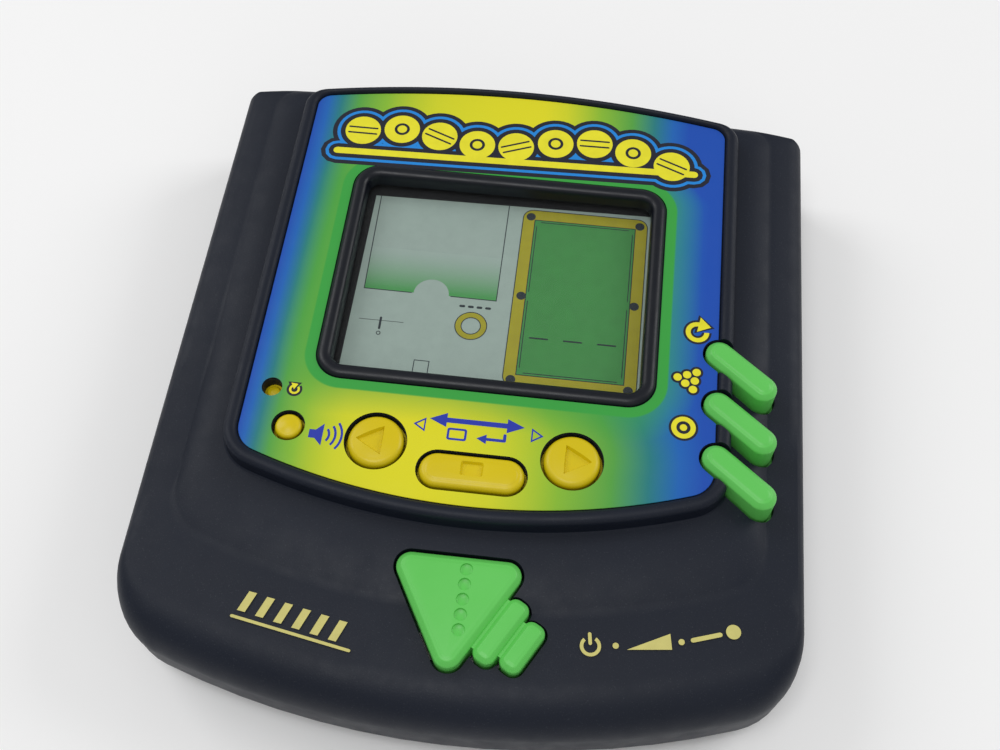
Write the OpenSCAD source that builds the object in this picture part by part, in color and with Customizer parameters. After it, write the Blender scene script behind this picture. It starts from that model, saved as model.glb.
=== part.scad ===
// Handheld LCD game, lying on its back. X runs across the face, +Y towards its top
// edge and +Z out of the face. The origin is the middle of the footprint.

/* [Case] */
// Width of the case
case_w = 114; // [110:1:140]
// Length of the case, from the front edge to the back edge
case_l = 126; // [122:1:155]
// Height of the faceplate's surface above the back of the case
plate_z = 25; // [24:0.5:31]
// Height of the seam between the two halves
seam_z = 13; // [12.5:0.5:14]
// Thickness of the side walls and of the rear floor
wall = 2.2; // [1.8:0.1:2.8]
// Thickness of the deck and of the floor under the faceplate
roof = 2; // [1.6:0.1:2.4]
// Radius of the two front corners in plan
front_corner = 13; // [10:1:16]
// Depth of the roll along the front edge
roll_depth = 8; // [6:0.5:10]
// Diameter of the screw columns
column_d = 7; // [6:0.5:8]

/* [Faceplate] */
// Width of the printed faceplate
plate_w = 81.2; // [78:0.2:84]
// Length of the printed faceplate along its middle
plate_l = 89.2; // [89:0.2:92]
// Gap from the back edge of the case to the faceplate
plate_margin = 2; // [2:0.5:3]
// Thickness of the printed faceplate
plate_t = 0.4; // [0.3:0.1:0.6]
// Width of the raised rim round the faceplate
rim_w = 2.7; // [2:0.1:3.2]
// Height of the rim and of the window bead above the faceplate
bead_h = 0.8; // [0.5:0.1:1.2]

/* [Screen] */
// Width of the window bead, outside
window_w = 60; // [56:1:62]
// Length of the window bead, outside
window_l = 47.4; // [44:0.2:48]
// Distance from the faceplate's top edge to the window bead
window_down = 20.2; // [19:0.2:21]
// Width of the bead round the window
bead_w = 2.7; // [2:0.1:3.2]
// Thickness of the clear screen lens
lens_t = 1.2; // [0.8:0.1:1.4]
// Thickness of each sheet of display glass
glass_t = 1.1; // [0.7:0.1:1.1]

/* [Buttons] */
// Diameter of the two round selector caps
round_d = 10; // [8:0.2:12]
// Distance between the two round selector caps
round_pitch = 33.5; // [31:0.5:35]
// Length of the long enter cap
enter_l = 18.2; // [16:0.2:19]
// Width of the long enter cap
enter_w = 6.6; // [5.6:0.2:7]
// Diameter of the small sound cap
sound_d = 5; // [4:0.2:5.6]
// Diameter of the recessed reset cap
reset_d = 2.8; // [2.2:0.2:3.2]
// Length of each slanted side cap
pill_l = 15; // [13:0.2:15.6]
// Width of each slanted side cap
pill_w = 5.3; // [4.6:0.1:5.6]
// Spacing of the slanted side caps
pill_pitch = 10.25; // [9.5:0.05:10.5]
// Side of the triangular shoot cap, corner to corner
shoot_side = 24.8; // [22:0.2:26]
// Travel of the small caps
key_travel = 1; // [0.6:0.1:1]
// Travel of the shoot cap
shoot_travel = 0.9; // [0.6:0.1:1]
// Clearance round every cap in its hole
cap_gap = 0.3; // [0.2:0.05:0.4]

/* [Batteries] */
// Diameter of a battery cell
cell_d = 10.5; // [10:0.5:12.6]
// Length of a battery cell
cell_l = 44.5; // [44:0.5:48]
// Thickness of the battery door
door_t = 2; // [1.8:0.1:2.4]
// Clearance of the battery door in its opening
door_gap = 0.25; // [0.15:0.05:0.35]

/* [Board] */
// Thickness of the circuit board
board_t = 1.6; // [1:0.2:1.6]
// Depth of the board's upper face below the faceplate
board_down = 10.5; // [10.5:0.1:11]

/* [Hidden] */

$fn = 48;
sliver = 0.01;
arc_n = 14;
corner_n = 8;
round_n = 8;

// Colours
shell_color = [0.15, 0.16, 0.19];
green_color = [0.36, 0.72, 0.35];
yellow_color = [0.88, 0.78, 0.2];
steel_color = [0.78, 0.78, 0.76];
rubber_color = [0.62, 0.64, 0.62];
brass_color = [0.8, 0.66, 0.34];

// Plan outline of the case
front_arc = 150;
back_arc = 900;
back_corner = 2;

// Depths below the faceplate that shape the deck
roll_top = 5;
roll_foot = 11.8;
roll_levels = [for (t = [0:15:90]) roll_foot - (roll_foot - roll_top) * sin(t)];
seam_gap = 0.3;
lip_t = 1.1;
lip_h = 1.2;
lip_fit = 0.15;
step_z = seam_z + lip_h + lip_fit;

// Faceplate outline
plate_top = case_l / 2 - plate_margin;
plate_front_arc = 114.5;
plate_back_arc = 212;
plate_corner = 5;
plate_back_corner = 2.8;
plate_fit = 0.15;
plate_floor = plate_z - plate_t;
plate_under = plate_floor - roof;
crease_down = 4.75;
crease_lift = 0.6;
slope_down = 3.65;
foot_down = 3;

// Window
window_corner = 5;
window_top = plate_top - window_down;
window_mid = window_top - window_l / 2;
opening_w = window_w - 2 * bead_w;
opening_l = window_l - 2 * bead_w;
lens_lip = 2;
lens_z = plate_under - lens_t;
film_t = 0.2;
film_gap = 0.4;
film_z = lens_z - film_gap - film_t;
glass_w = opening_w + 7;
glass_top = window_top - 0.1;
glass_l = opening_l + 6.3;
ledge_l = 3.1;
zebra_in = 2.2;
glass_z = film_z - 2 * glass_t;
reflector_z = glass_z - film_t;
holder_wall = 1.6;
holder_fit = 0.2;
holder_w = glass_w + 2 * (holder_fit + holder_wall);
holder_top = glass_top + holder_fit + holder_wall;
holder_l = glass_l + 2 * (holder_fit + holder_wall);
holder_lift = 3;

// Board
board_z = plate_z - board_down;
board_w = 88;
board_front = plate_top - 94.5;
board_tab_w = 9;
crystal_r = 1.5;
board_tab = [plate_top - 86, plate_top - 52];
board_tongue = [-15, 17.5];
board_tongue_y = -case_l / 2 + 7;
board_posts = [[-38.5, plate_top - 34], [38.5, plate_top - 34], [-26, plate_top - 91],
    [30, plate_top - 90]];
post_d = 5.2;
post_bore = 0.85;

// Keys
key_down = 79;
mat_t = 1;
dome_h = 2;
mat_z = board_z + mat_t;
dome_z = mat_z + dome_h;
touch_gap = 0.05;
flange_w = 1;
flange_t = 0.9;
pill_flange_w = 0.6;
pill_flange_t = 0.6;
pocket_gap = 0.3;
flange_drop = 0.2;
cap_floor = dome_z + touch_gap;
left_at = [-round_pitch / 2, plate_top - key_down];
right_at = [round_pitch / 2, plate_top - key_down];
enter_at = [0.2, plate_top - key_down - 4.1];
sound_at = [-32.1, plate_top - 77.8];
reset_at = [-36.4, plate_top - 70.7];
pill_angle = -38.7;
pill_x = 44.7;
pill_y = plate_top - 58.3;
pills_at = [for (i = [0:2]) [pill_x, pill_y - i * pill_pitch]];
pill_top = plate_z + 1.1;
round_top = plate_z + 0.7;
sound_top = plate_z + 0.4;
reset_top = plate_z - 1.8;

// Shoot key
shoot_at = [0.1, -case_l / 2 + 27.4];
shoot_corner = 2.6;
shoot_rib_w = 4.2;
shoot_ribs = [12.3, 9.4];
shoot_top = plate_z - 2.5;
shoot_mat_t = 0.8;
shoot_dome_z = board_z + 2.4;
shoot_floor = shoot_dome_z + touch_gap;
shoot_flange_w = 0.7;
shoot_dimples = 5;

// Batteries
bay_wall = 1.2;
cell_gap = 0.4;
spring_l = 5;
bay_l = cell_l + spring_l + 1;
bay_back = case_l / 2 - wall - 3.3;
bay_w = 2 * cell_d + 3 * cell_gap;
bay_front = bay_back - bay_w;
cell_z = door_t + door_gap + cell_d / 2;
bay_roof = cell_z + cell_d / 2 + 0.3;
cells_y = [bay_back - cell_gap - cell_d / 2, bay_front + cell_gap + cell_d / 2];
bay_x = [-bay_l / 2 - bay_wall, bay_l / 2 + bay_wall];
bay_y = [bay_front - bay_wall, bay_back + bay_wall];
door_w = bay_l + 2 * bay_wall + 3;
door_front = bay_front - bay_wall - 1;
door_end_z = 9;
tongue_w = 1.4;
tongue_z = 1;
tab_l = 1.4;
tab_w = 6;
tab_x = 15;
nub_l = 1;
contact_t = 0.4;
contact_w = 8;
contact_tab = 3;
board_back = bay_front - bay_wall - 0.9;

// Fasteners
columns = [for (s = [-1, 1]) each [[s * (case_w / 2 - 8), case_l / 2 - 12.5],
    [s * (case_w / 2 - 8), plate_top - 91], [s * 22, -case_l / 2 + 11.5]]];
column_meet = seam_z - 2;
screw_bore = 1.25;
screw_r = 1.2;
screw_grip = 4;
screw_head_r = 2.7;
screw_head_h = 1.8;
counterbore_r = 3.1;
counterbore_z = 6.5;
clear_r = 1.6;
board_screw_r = 0.8;

lead_r = 0.4;
wire_r = 0.5;

// Buzzer
buzzer_at = [-25, -13];
buzzer_r = 13.5;
buzzer_ring = 1.2;
buzzer_fit = 0.3;
buzzer_ledge = 0.6;
buzzer_t = 0.3;
ceramic_t = 0.25;

// ---------------------------------------------------------------- outlines

// Points of an arc; its first one is left out unless first is 0
function arc(c, r, a0, a1, n, first = 1) = [for (i = [first:n]) let (a = a0 + (a1 - a0) * i / n)
    c + r * [cos(a), sin(a)]];

// Outline with straight sides at x = +-w, a bowed front through (0, yf) and a bowed back
// through (0, yb), each with its own arc and corner radius
function tub(w, yf, rf, cf, yb, rb, cb) =
    let (
        fc = [0, yf + rf], bc = [0, yb - rb],
        f = [w - cf, fc.y - sqrt(pow(rf - cf, 2) - pow(w - cf, 2))],
        b = [w - cb, bc.y + sqrt(pow(rb - cb, 2) - pow(w - cb, 2))],
        fa = atan2(f.y - fc.y, f.x), ba = atan2(b.y - bc.y, b.x)
    )
    concat(arc(fc, rf, -180 - fa, fa, arc_n), arc(f, cf, fa, 0, corner_n), [b + [cb, 0]],
        arc(b, cb, 0, ba, corner_n), arc(bc, rb, ba, 180 - ba, arc_n),
        arc([-b.x, b.y], cb, 180 - ba, 180, corner_n), [[-f.x - cf, f.y]],
        arc([-f.x, f.y], cf, 180, 180 - fa, corner_n));

// Case outline drawn in by s at the sides, f at the front and b at the back
function case_tub(s, f, b) = tub(case_w / 2 - s, -case_l / 2 + f, front_arc - f,
    max(front_corner - (s + f) / 2, 3), case_l / 2 - b, back_arc - b, max(back_corner - s / 2, 1));

// Faceplate outline grown by o, and by back_o at its back edge
function plate_tub(o, back_o) = tub(plate_w / 2 + o, plate_top - plate_l - o, plate_front_arc + o,
    plate_corner + o, plate_top + back_o, plate_back_arc + back_o, plate_back_corner + back_o);

// Inset of the side and of the front edge at depth d below the faceplate
function side_in(d) = lookup(d, [[5, 1.5], [5.8, 0.6], [6.8, 0.15], [7.8, 0]]);
function roll_in(d) = roll_depth * (1 - sqrt(max(1 - pow((roll_foot - d) / (roll_foot - roll_top), 2), 0)));

// Foot of the mound, drawn in by g; its back edge stays just inside the case's own
function crease_line(g) = tub(case_w / 2 - 6.8 - g, plate_top - 105.2 + g * 1.4, front_arc - 20, 9,
    case_l / 2 - 0.25 - g * 0.02, back_arc, 4);

function level(z, outline) = [for (p = outline) [p.x, p.y, z]];

// The mound's foot rises to meet the plain deck beside the screen
function crease_level() = [for (p = crease_line(0))
    [p.x, p.y, plate_z - crease_down + crease_lift * min(max((p.y + 10) / 30, 0), 1)]];

// Solid skin over rings of equal length, each listed anticlockwise from above
module loft(rings) {
    n = len(rings[0]);
    last = (len(rings) - 1) * n;
    polyhedron(points = [for (r = rings) each r], faces = concat(
        [[for (k = [0:n - 1]) k]],
        [[for (k = [n - 1:-1:0]) last + k]],
        [for (i = [0:len(rings) - 2], k = [0:n - 1]) let (j = (k + 1) % n)
            each [[i * n + k, (i + 1) * n + k, (i + 1) * n + j],
                [i * n + k, (i + 1) * n + j, i * n + j]]]));
}

module at(p, z = 0) translate([p.x, p.y, z]) children();

module bar(x, y, z) translate([x[0], y[0], z[0]]) cube([x[1] - x[0], y[1] - y[0], z[1] - z[0]]);

// Round-ended slot outline, l long over all and w wide, along X
module stadium(l, w) {
    square([l - w, w], center = true);
    for (s = [-1, 1]) translate([s * (l - w) / 2, 0]) circle(d = w);
}

function stadium_line(l, w) = concat(arc([(l - w) / 2, 0], w / 2, -90, 90, round_n, 0),
    arc([-(l - w) / 2, 0], w / 2, 90, 270, round_n, 0));

module rounded(w, l, r) {
    square([w - 2 * r, l], center = true);
    square([w, l - 2 * r], center = true);
    for (x = [-1, 1], y = [-1, 1]) translate([x * (w / 2 - r), y * (l / 2 - r)]) circle(r);
}

// ---------------------------------------------------------------- sweeps

// Tube of radius r along points, with n sides
function ring_frame(p, i) =
    let (a = p[max(i - 1, 0)], b = p[min(i + 1, len(p) - 1)], t = (b - a) / norm(b - a),
        up = abs(t.z) > 0.9 ? [1, 0, 0] : [0, 0, 1], u = cross(up, t) / norm(cross(up, t)))
    [u, cross(t, u)];

module tube(p, r, n = 8) {
    rings = [for (i = [0:len(p) - 1]) let (f = ring_frame(p, i)) for (k = [0:n - 1])
        p[i] + r * (cos(360 * k / n) * f[0] + sin(360 * k / n) * f[1])];
    last = len(rings) - n;
    faces = concat([[for (k = [n - 1:-1:0]) k]], [[for (k = [0:n - 1]) last + k]],
        [for (i = [0:len(p) - 2], k = [0:n - 1]) let (j = (k + 1) % n)
            each [[i * n + k, i * n + j, (i + 1) * n + j], [i * n + k, (i + 1) * n + j, (i + 1) * n + k]]]);
    polyhedron(points = rings, faces = [for (f = faces) [for (k = [len(f) - 1:-1:0]) f[k]]]);
}

// Points of a conical spring along X, from radius r0 to r1
function spring_points(l, r0, r1, turns, n = 14) = [for (i = [0:turns * n]) let (f = i / (turns * n))
    [f * l, (r0 + (r1 - r0) * f) * cos(360 * i / n), (r0 + (r1 - r0) * f) * sin(360 * i / n)]];

// Smooth points through a bend list: each leg is cut at a third of its length
function soft(p) = concat([p[0]], [for (i = [1:len(p) - 2]) each [p[i] + (p[i - 1] - p[i]) * 0.3,
    p[i] + (p[i - 1] - p[i]) * 0.08 + (p[i + 1] - p[i]) * 0.08, p[i] + (p[i + 1] - p[i]) * 0.3]],
        [p[len(p) - 1]]);

// ---------------------------------------------------------------- key shapes

// Hole outline of each key, grown by g
module pill_outline(g) rotate(pill_angle) stadium(pill_l + 2 * g, pill_w + 2 * g);

// Round cap with an edge radius e, a flange under the floor and a stem to its dome
module round_cap(d, top, e, flange_d, stem_d) {
    edge = [for (a = [0:15:90]) [d / 2 - e + e * cos(a), top - e + e * sin(a)]];
    fz = plate_under - flange_drop;
    rotate_extrude() polygon(concat([[0, cap_floor], [stem_d / 2, cap_floor], [stem_d / 2, fz - flange_t],
        [flange_d / 2, fz - flange_t], [flange_d / 2, fz], [d / 2, fz]], edge, [[0, top]]));
}

// Soft-edged slab with a stadium outline and an edge radius e
module soft_stadium(l, w, z0, z1, e) loft(concat([level(z0, stadium_line(l, w))],
    [for (a = [0:22.5:90]) let (g = 2 * e * (1 - cos(a))) level(z1 - e + e * sin(a),
        stadium_line(l - g, w - g))]));

// Outline of the shoot triangle grown by g, measured from the middle of its top side
function triangle_line(g) = let (r = shoot_corner + g, x = shoot_side / 2 - shoot_corner * sqrt(3))
    concat(arc([0, 2 * shoot_corner - shoot_side * sqrt(3) / 2], r, 210, 330, round_n, 0),
        arc([x, -shoot_corner], r, -30, 90, round_n, 0), arc([-x, -shoot_corner], r, 90, 210, round_n, 0));

// Puts a rib of the shoot cap in place: number i counts outwards from the triangle
module rib_place(i) translate([shoot_side / 4, -shoot_side * sqrt(3) / 4]) rotate(-30)
    translate([(i + 0.5) * shoot_rib_w, 0]) rotate(90) children();

module shoot_hole(g) {
    polygon(triangle_line(g));
    for (i = [0, 1]) rib_place(i) stadium(shoot_ribs[i] + 2 * g, shoot_rib_w + 2 * g);
    rib_place(0) translate([0, 1.5]) square([shoot_ribs[1] - 3, shoot_rib_w + 3], center = true);
}

// ---------------------------------------------------------------- case

// Rings of the underside, from the space below the faceplate out and down to the seam
under_rings = concat(
    [level(plate_under, plate_tub(-0.6, -1.2)), level(plate_z - foot_down - roof, plate_tub(-0.5, -1.1)),
        level(plate_z - crease_down - roof, crease_line(0.4 + wall * 0.4))],
    [for (i = [6:-1:1]) let (d = roll_levels[i])
        level(max(plate_z - d - roof, step_z + 0.3), case_tub(side_in(d) + wall, roll_in(d) + wall, wall))],
    [level(step_z, case_tub(wall, wall, wall)), level(step_z, case_tub(lip_t, lip_t, lip_t)),
        level(seam_z, case_tub(lip_t, lip_t, lip_t))]);

// Rings of the outside, from the seam up the wall, over the deck and rim to the faceplate's pocket
outer_rings = concat(
    [level(seam_z, case_tub(0, 0, 0))],
    [for (d = roll_levels) level(plate_z - d,
        case_tub(side_in(d), roll_in(d), 0.2 * (roll_foot - d) / roll_foot))],
    [crease_level(), level(plate_z - slope_down, crease_line(3)),
        level(plate_z - foot_down, plate_tub(rim_w + 0.4, plate_margin - 0.4)),
        level(plate_z - 0.3, plate_tub(rim_w, plate_margin - 0.5)),
        level(plate_z + bead_h * 0.5, plate_tub(rim_w - 0.25, plate_margin - 0.7)),
        level(plate_z + bead_h * 0.88, plate_tub(rim_w - 0.8, plate_margin - 1.1)),
        level(plate_z + bead_h, plate_tub(rim_w * 0.5, plate_margin * 0.35)),
        level(plate_z + bead_h * 0.88, plate_tub(plate_fit + 0.5, plate_fit + 0.25)),
        level(plate_z + bead_h * 0.4, plate_tub(plate_fit, plate_fit)),
        level(plate_floor, plate_tub(plate_fit, plate_fit))]);

module window_bead(g, z0, z1) translate([0, window_mid, z0]) linear_extrude(z1 - z0)
    rounded(window_w + 2 * g, window_l + 2 * g, window_corner + g);

module key_holes(g, z0, z1) {
    for (p = [left_at, right_at]) at(p, z0) cylinder(r = round_d / 2 + g, h = z1 - z0);
    at(sound_at, z0) cylinder(r = sound_d / 2 + g, h = z1 - z0);
    at(reset_at, z0) cylinder(r = reset_d / 2 + g, h = z1 - z0);
    at(enter_at, z0) linear_extrude(z1 - z0) stadium(enter_l + 2 * g, enter_w + 2 * g);
    for (p = pills_at) at(p, z0) linear_extrude(z1 - z0) pill_outline(g);
}

// Room under the deck for the flanges of the side caps and of the shoot cap
module flange_pockets() {
    for (p = pills_at) at(p, seam_z) linear_extrude(cap_floor + pill_flange_t + pocket_gap - seam_z)
        pill_outline(pill_flange_w + pocket_gap);
    at(shoot_at, seam_z) linear_extrude(shoot_floor + pill_flange_t + pocket_gap - seam_z)
        shoot_hole(shoot_flange_w + pocket_gap);
}

module front_case() {
    color(shell_color) difference() {
        union() {
            loft(concat(under_rings, outer_rings));
            window_bead(0, plate_under, plate_z + bead_h);
            for (p = columns) at(p, column_meet) cylinder(d = column_d, h = plate_z - 6 - column_meet);
            for (p = board_posts) at(p, board_z)
                cylinder(d = post_d, h = (p.y > 0 ? plate_under + 0.4 : plate_z - 5) - board_z);
        }
        window_bead(-bead_w, 0, plate_z + 5);
        key_holes(cap_gap, seam_z, plate_z + 5);
        at(shoot_at, seam_z) linear_extrude(plate_z - seam_z) shoot_hole(cap_gap);
        flange_pockets();
        for (p = columns) at(p, column_meet - 1) cylinder(r = screw_bore, h = screw_grip + 2);
        for (p = board_posts) at(p, board_z - 1) cylinder(r = post_bore, h = 5.5);
    }
}

// Rings of the rear shell's outside: inset from the case's outline and height
rear_edge = [[5.5, 4, 0], [4.1, 2.6, 0.6], [2.6, 1.4, 1.6], [1.3, 0.6, 3], [0.5, 0.2, 4.6],
    [0.1, 0.1, 6.5]];
rear_rings = concat([for (r = rear_edge) level(r[2], case_tub(r[0], r[0], r[1]))],
    [level(seam_z - seam_gap, case_tub(0.1, 0.1, 0.1))]);

// Rings of its lip and of its inside, down to the floor
lining_rings = let (l = lip_t + lip_fit, w = wall + 0.1) [
    level(seam_z - seam_gap, case_tub(l, l, l)), level(seam_z + lip_h, case_tub(l, l, l)),
    level(seam_z + lip_h, case_tub(w, w, w)), level(wall + 4, case_tub(w, w, w)),
    level(wall + 1.6, case_tub(w + 1, w + 1, w + 0.5)), level(wall, case_tub(w + 3, w + 3, w + 2))];

module rear_case() {
    color(shell_color) difference() {
        union() {
            loft(concat(rear_rings, lining_rings));
            for (p = columns) at(p, wall / 2) cylinder(d = column_d, h = column_meet - 0.1 - wall / 2);
            // battery box
            bar(bay_x, bay_y, [door_t + door_gap, bay_roof + bay_wall]);
            // walls that carry the door's side tongues
            for (s = [0, 1]) mirror([s, 0, 0])
                translate([door_w / 2 + tongue_w + door_gap, door_front - bay_wall, wall / 2])
                    cube([bay_wall, bay_back + 2 * bay_wall - door_front, 5]);
            // ring with a ledge that the buzzer is glued to
            at(buzzer_at, wall / 2) difference() {
                cylinder(r = buzzer_r + buzzer_fit + buzzer_ring, h = wall / 2 + 1.4);
                cylinder(r = buzzer_r - buzzer_ring, h = 6);
                translate([0, 0, wall / 2 + buzzer_ledge]) cylinder(r = buzzer_r + buzzer_fit, h = 6);
            }
        }
        bar([-bay_l / 2, bay_l / 2], [bay_front, bay_back], [-1, bay_roof]);
        difference() {
            door_cut();
            // the box keeps its walls above the door
            bar(bay_x, bay_y, [door_t + door_gap, seam_z]);
        }
        for (p = columns) at(p) {
            translate([0, 0, -1]) cylinder(r = counterbore_r, h = counterbore_z + 1);
            cylinder(r = clear_r, h = seam_z);
        }
        for (a = [0:60:300]) at(buzzer_at + 6 * [cos(a), sin(a)], -1) cylinder(r = 0.9, h = wall + 2);
        at(buzzer_at, -1) cylinder(r = 0.9, h = wall + 2);
        contact_slots();
    }
}

module door_plate(half, y, z) bar([-half, half], y, z);

// Front tabs of the door, grown by g
module door_tabs(g) for (x = [-tab_x, tab_x]) bar([x - tab_w / 2 - g, x + tab_w / 2 + g],
    [door_front - tab_l - g, door_front + 1], [tongue_z - g, door_t + g]);

// Opening for the door, through the floor and the back wall
module door_cut() {
    door_plate(door_w / 2 + door_gap, [door_front - door_gap, case_l / 2 + 5], [-1, tongue_z]);
    door_plate(door_w / 2 + tongue_w + door_gap, [door_front - door_gap, case_l / 2 + 5],
        [tongue_z - door_gap, door_t + door_gap]);
    door_plate(door_w / 2 + door_gap, [bay_back + bay_wall, case_l / 2 + 5], [-1, door_end_z + door_gap]);
    door_tabs(door_gap);
}

module battery_door() {
    color(shell_color) difference() {
        intersection() {
            loft(rear_rings);
            union() {
                door_plate(door_w / 2, [door_front, case_l / 2 + 5], [-1, door_t]);
                door_plate(door_w / 2 + tongue_w, [door_front, case_l / 2 - wall - 2], [tongue_z, door_t]);
                door_plate(door_w / 2, [case_l / 2 - wall, case_l / 2 + 5], [-1, door_end_z]);
                door_tabs(0);
            }
        }
        // finger grips
        for (i = [0:4]) bar([-9, 9], [door_front + 6 + i * 2, door_front + 7 + i * 2], [-1, 0.5]);
    }
}

module faceplate() {
    color([0.75, 0.8, 0.25]) difference() {
        translate([0, 0, plate_floor]) linear_extrude(plate_t) polygon(plate_tub(0, 0));
        window_bead(plate_fit, plate_floor - 1, plate_z + 1);
        key_holes(cap_gap + 0.1, plate_floor - 1, plate_z + 1);
    }
}

// ---------------------------------------------------------------- screen

module screen_lens() {
    color([0.85, 0.9, 0.9, 0.4]) translate([0, window_mid, lens_z]) linear_extrude(lens_t)
        rounded(opening_w + 2 * lens_lip, opening_l + 2 * lens_lip, window_corner - 1);
}

// Slab inside the glass's outline, set in at its sides, front and back
module glass_bar(side, front, back, z) bar([side - glass_w / 2, glass_w / 2 - side],
    [glass_top - glass_l + front, glass_top - back], z);

module lcd_printed_film() {
    color([0.6, 0.66, 0.62]) glass_bar(0.5, ledge_l, 0.5, [film_z, film_z + film_t]);
}

module lcd_glass() {
    color([0.7, 0.78, 0.74, 0.6]) {
        glass_bar(0, 0, 0, [glass_z + glass_t, film_z]);
        glass_bar(0, ledge_l, 0, [glass_z, glass_z + glass_t]);
    }
}

module lcd_reflector() {
    color([0.72, 0.76, 0.73]) glass_bar(1, ledge_l + 0.5, 1, [reflector_z, glass_z]);
}

module lcd_holder() {
    half = holder_w / 2;
    color([0.1, 0.1, 0.11]) difference() {
        bar([-half, half], [holder_top - holder_l, holder_top], [board_z, plate_under - 0.1]);
        // pocket for the glass and the lens
        glass_bar(-holder_fit, -holder_fit, -holder_fit, [reflector_z, plate_z]);
        // light opening behind the reflector
        glass_bar(4, 7, 4, [board_z - 1, plate_z]);
        // slot for the zebra strip
        glass_bar(zebra_in - 0.2, 0.2, glass_l - ledge_l + 0.2, [board_z - 1, plate_z]);
        // step over the battery box
        bar([-half - 1, half + 1], [board_back - 0.6, holder_top + 1],
            [board_z - 1, board_z + holder_lift]);
    }
}

module zebra_strip() {
    color([0.25, 0.25, 0.27])
        glass_bar(zebra_in, 0.4, glass_l - ledge_l + 0.4, [board_z, glass_z + glass_t]);
}

// ---------------------------------------------------------------- board

module circuit_board() {
    color([0.12, 0.4, 0.2]) difference() {
        translate([0, 0, board_z - board_t]) linear_extrude(board_t) {
            translate([-board_w / 2, board_front]) square([board_w, board_back - board_front]);
            translate([0, board_tab[0]]) square([board_w / 2 + board_tab_w, board_tab[1] - board_tab[0]]);
            translate([board_tongue[0], board_tongue_y])
                square([board_tongue[1] - board_tongue[0], board_front - board_tongue_y + 1]);
        }
        for (p = board_posts) at(p, board_z - board_t - 1) cylinder(r = 1.1, h = board_t + 2);
    }
}

module chip_blob() {
    color([0.05, 0.05, 0.05]) translate([6, plate_top - 56, board_z - board_t - 1.6])
        rotate_extrude() polygon(concat([[0, 0], [0, 1.6]],
            [for (a = [0:15:75]) [9 * cos(a), 1.6 - 1.6 * sin(a)]]));
}

module crystal() {
    color(steel_color) translate([24, plate_top - 62, board_z - board_t - crystal_r]) rotate([0, 90, 0])
        cylinder(r = crystal_r, h = 6.2);
}

module capacitor() {
    color([0.1, 0.12, 0.3]) translate([32, plate_top - 78, board_z - board_t - 7]) cylinder(r = 2.5, h = 7);
}

module chip_resistors() {
    color([0.15, 0.15, 0.16]) for (i = [0:5])
        translate([-14 + i * 4, plate_top - 76, board_z - board_t - 0.5])
        cube([2, 1.25, 0.5]);
}

// Rubber dome with its hollow cut out later by dome_hollow
module dome(p, r, z0, z1) at(p, z0 - sliver) cylinder(r1 = r, r2 = r * 0.78, h = z1 - z0 + sliver);

module dome_hollow(p, r, z1) at(p, board_z - sliver)
    cylinder(r = r * 0.66, h = z1 - board_z - 1.3 + sliver);

// Places and radii of the domes under the small keys
select_domes = [[left_at, 3.2], [right_at, 3.2], [enter_at, 3], [sound_at, 2.4], [reset_at, 2.2]];
side_domes = [for (p = pills_at) [p, 2.6]];
shoot_dome = [shoot_at + [1.5, -9], 3.2];

module select_keypad() {
    front = enter_at.y - enter_w / 2 - 1.4;
    color(rubber_color) difference() {
        union() {
            bar([reset_at.x - 3, right_at.x + 6], [front, glass_top - glass_l - 2.2], [board_z, mat_z]);
            bar([reset_at.x - 3, -holder_w / 2 - 0.4], [front, reset_at.y + 3.2], [board_z, mat_z]);
            for (d = select_domes) dome(d[0], d[1], mat_z, dome_z);
        }
        for (d = select_domes) dome_hollow(d[0], d[1], dome_z);
    }
}

module side_keypad() {
    color(rubber_color) difference() {
        union() {
            bar([pill_x - 5, pill_x + 6], [pills_at[2].y - 5, pills_at[0].y + 5], [board_z, mat_z]);
            for (d = side_domes) dome(d[0], d[1], mat_z, dome_z);
        }
        for (d = side_domes) dome_hollow(d[0], d[1], dome_z);
    }
}

module shoot_keypad() {
    color(rubber_color) difference() {
        union() {
            at(shoot_dome[0], board_z) linear_extrude(shoot_mat_t) square(14, center = true);
            dome(shoot_dome[0], shoot_dome[1], board_z + shoot_mat_t, shoot_dome_z);
        }
        at(shoot_dome[0], board_z - sliver) cylinder(r = 2.1, h = 1.5);
    }
}

module carbon_pills() {
    color([0.05, 0.05, 0.05]) {
        for (d = concat(select_domes, side_domes)) at(d[0], dome_z - 1.8) cylinder(r = d[1] * 0.5, h = 0.5);
        at(shoot_dome[0], board_z + 1.1) cylinder(r = 1.6, h = 0.4 - sliver);
    }
}

// ---------------------------------------------------------------- keys

module selector(p, turn) at(p) rotate(turn) difference() {
    round_cap(round_d, round_top, 1.3, round_d + 2 * flange_w, 4);
    translate([0.3, 0, round_top - 0.2]) linear_extrude(1)
        polygon([for (a = [0:120:240]) 2.4 * [cos(a), sin(a)]]);
}

module left_button() color(yellow_color) selector(left_at, 180);

module right_button() color(yellow_color) selector(right_at, 0);

module enter_button() {
    fz = plate_under - flange_drop;
    color(yellow_color) at(enter_at) difference() {
        union() {
            soft_stadium(enter_l, enter_w, fz - sliver, round_top, 1.2);
            translate([0, 0, fz - flange_t]) linear_extrude(flange_t)
                stadium(enter_l + 2 * flange_w, enter_w + 1.4);
            translate([0, 0, cap_floor]) cylinder(r = 2, h = fz - flange_t - cap_floor + sliver);
        }
        translate([0, 0.4, round_top - 0.2 + 0.5]) cube([3.3, 2.2, 1], center = true);
    }
}

module sound_button() color(yellow_color) at(sound_at) round_cap(sound_d, sound_top, 0.8, sound_d + 1.4, 3);

module reset_button() color(yellow_color) at(reset_at)
    round_cap(reset_d, reset_top, 0.5, reset_d + 1.4, 2.2);

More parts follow.
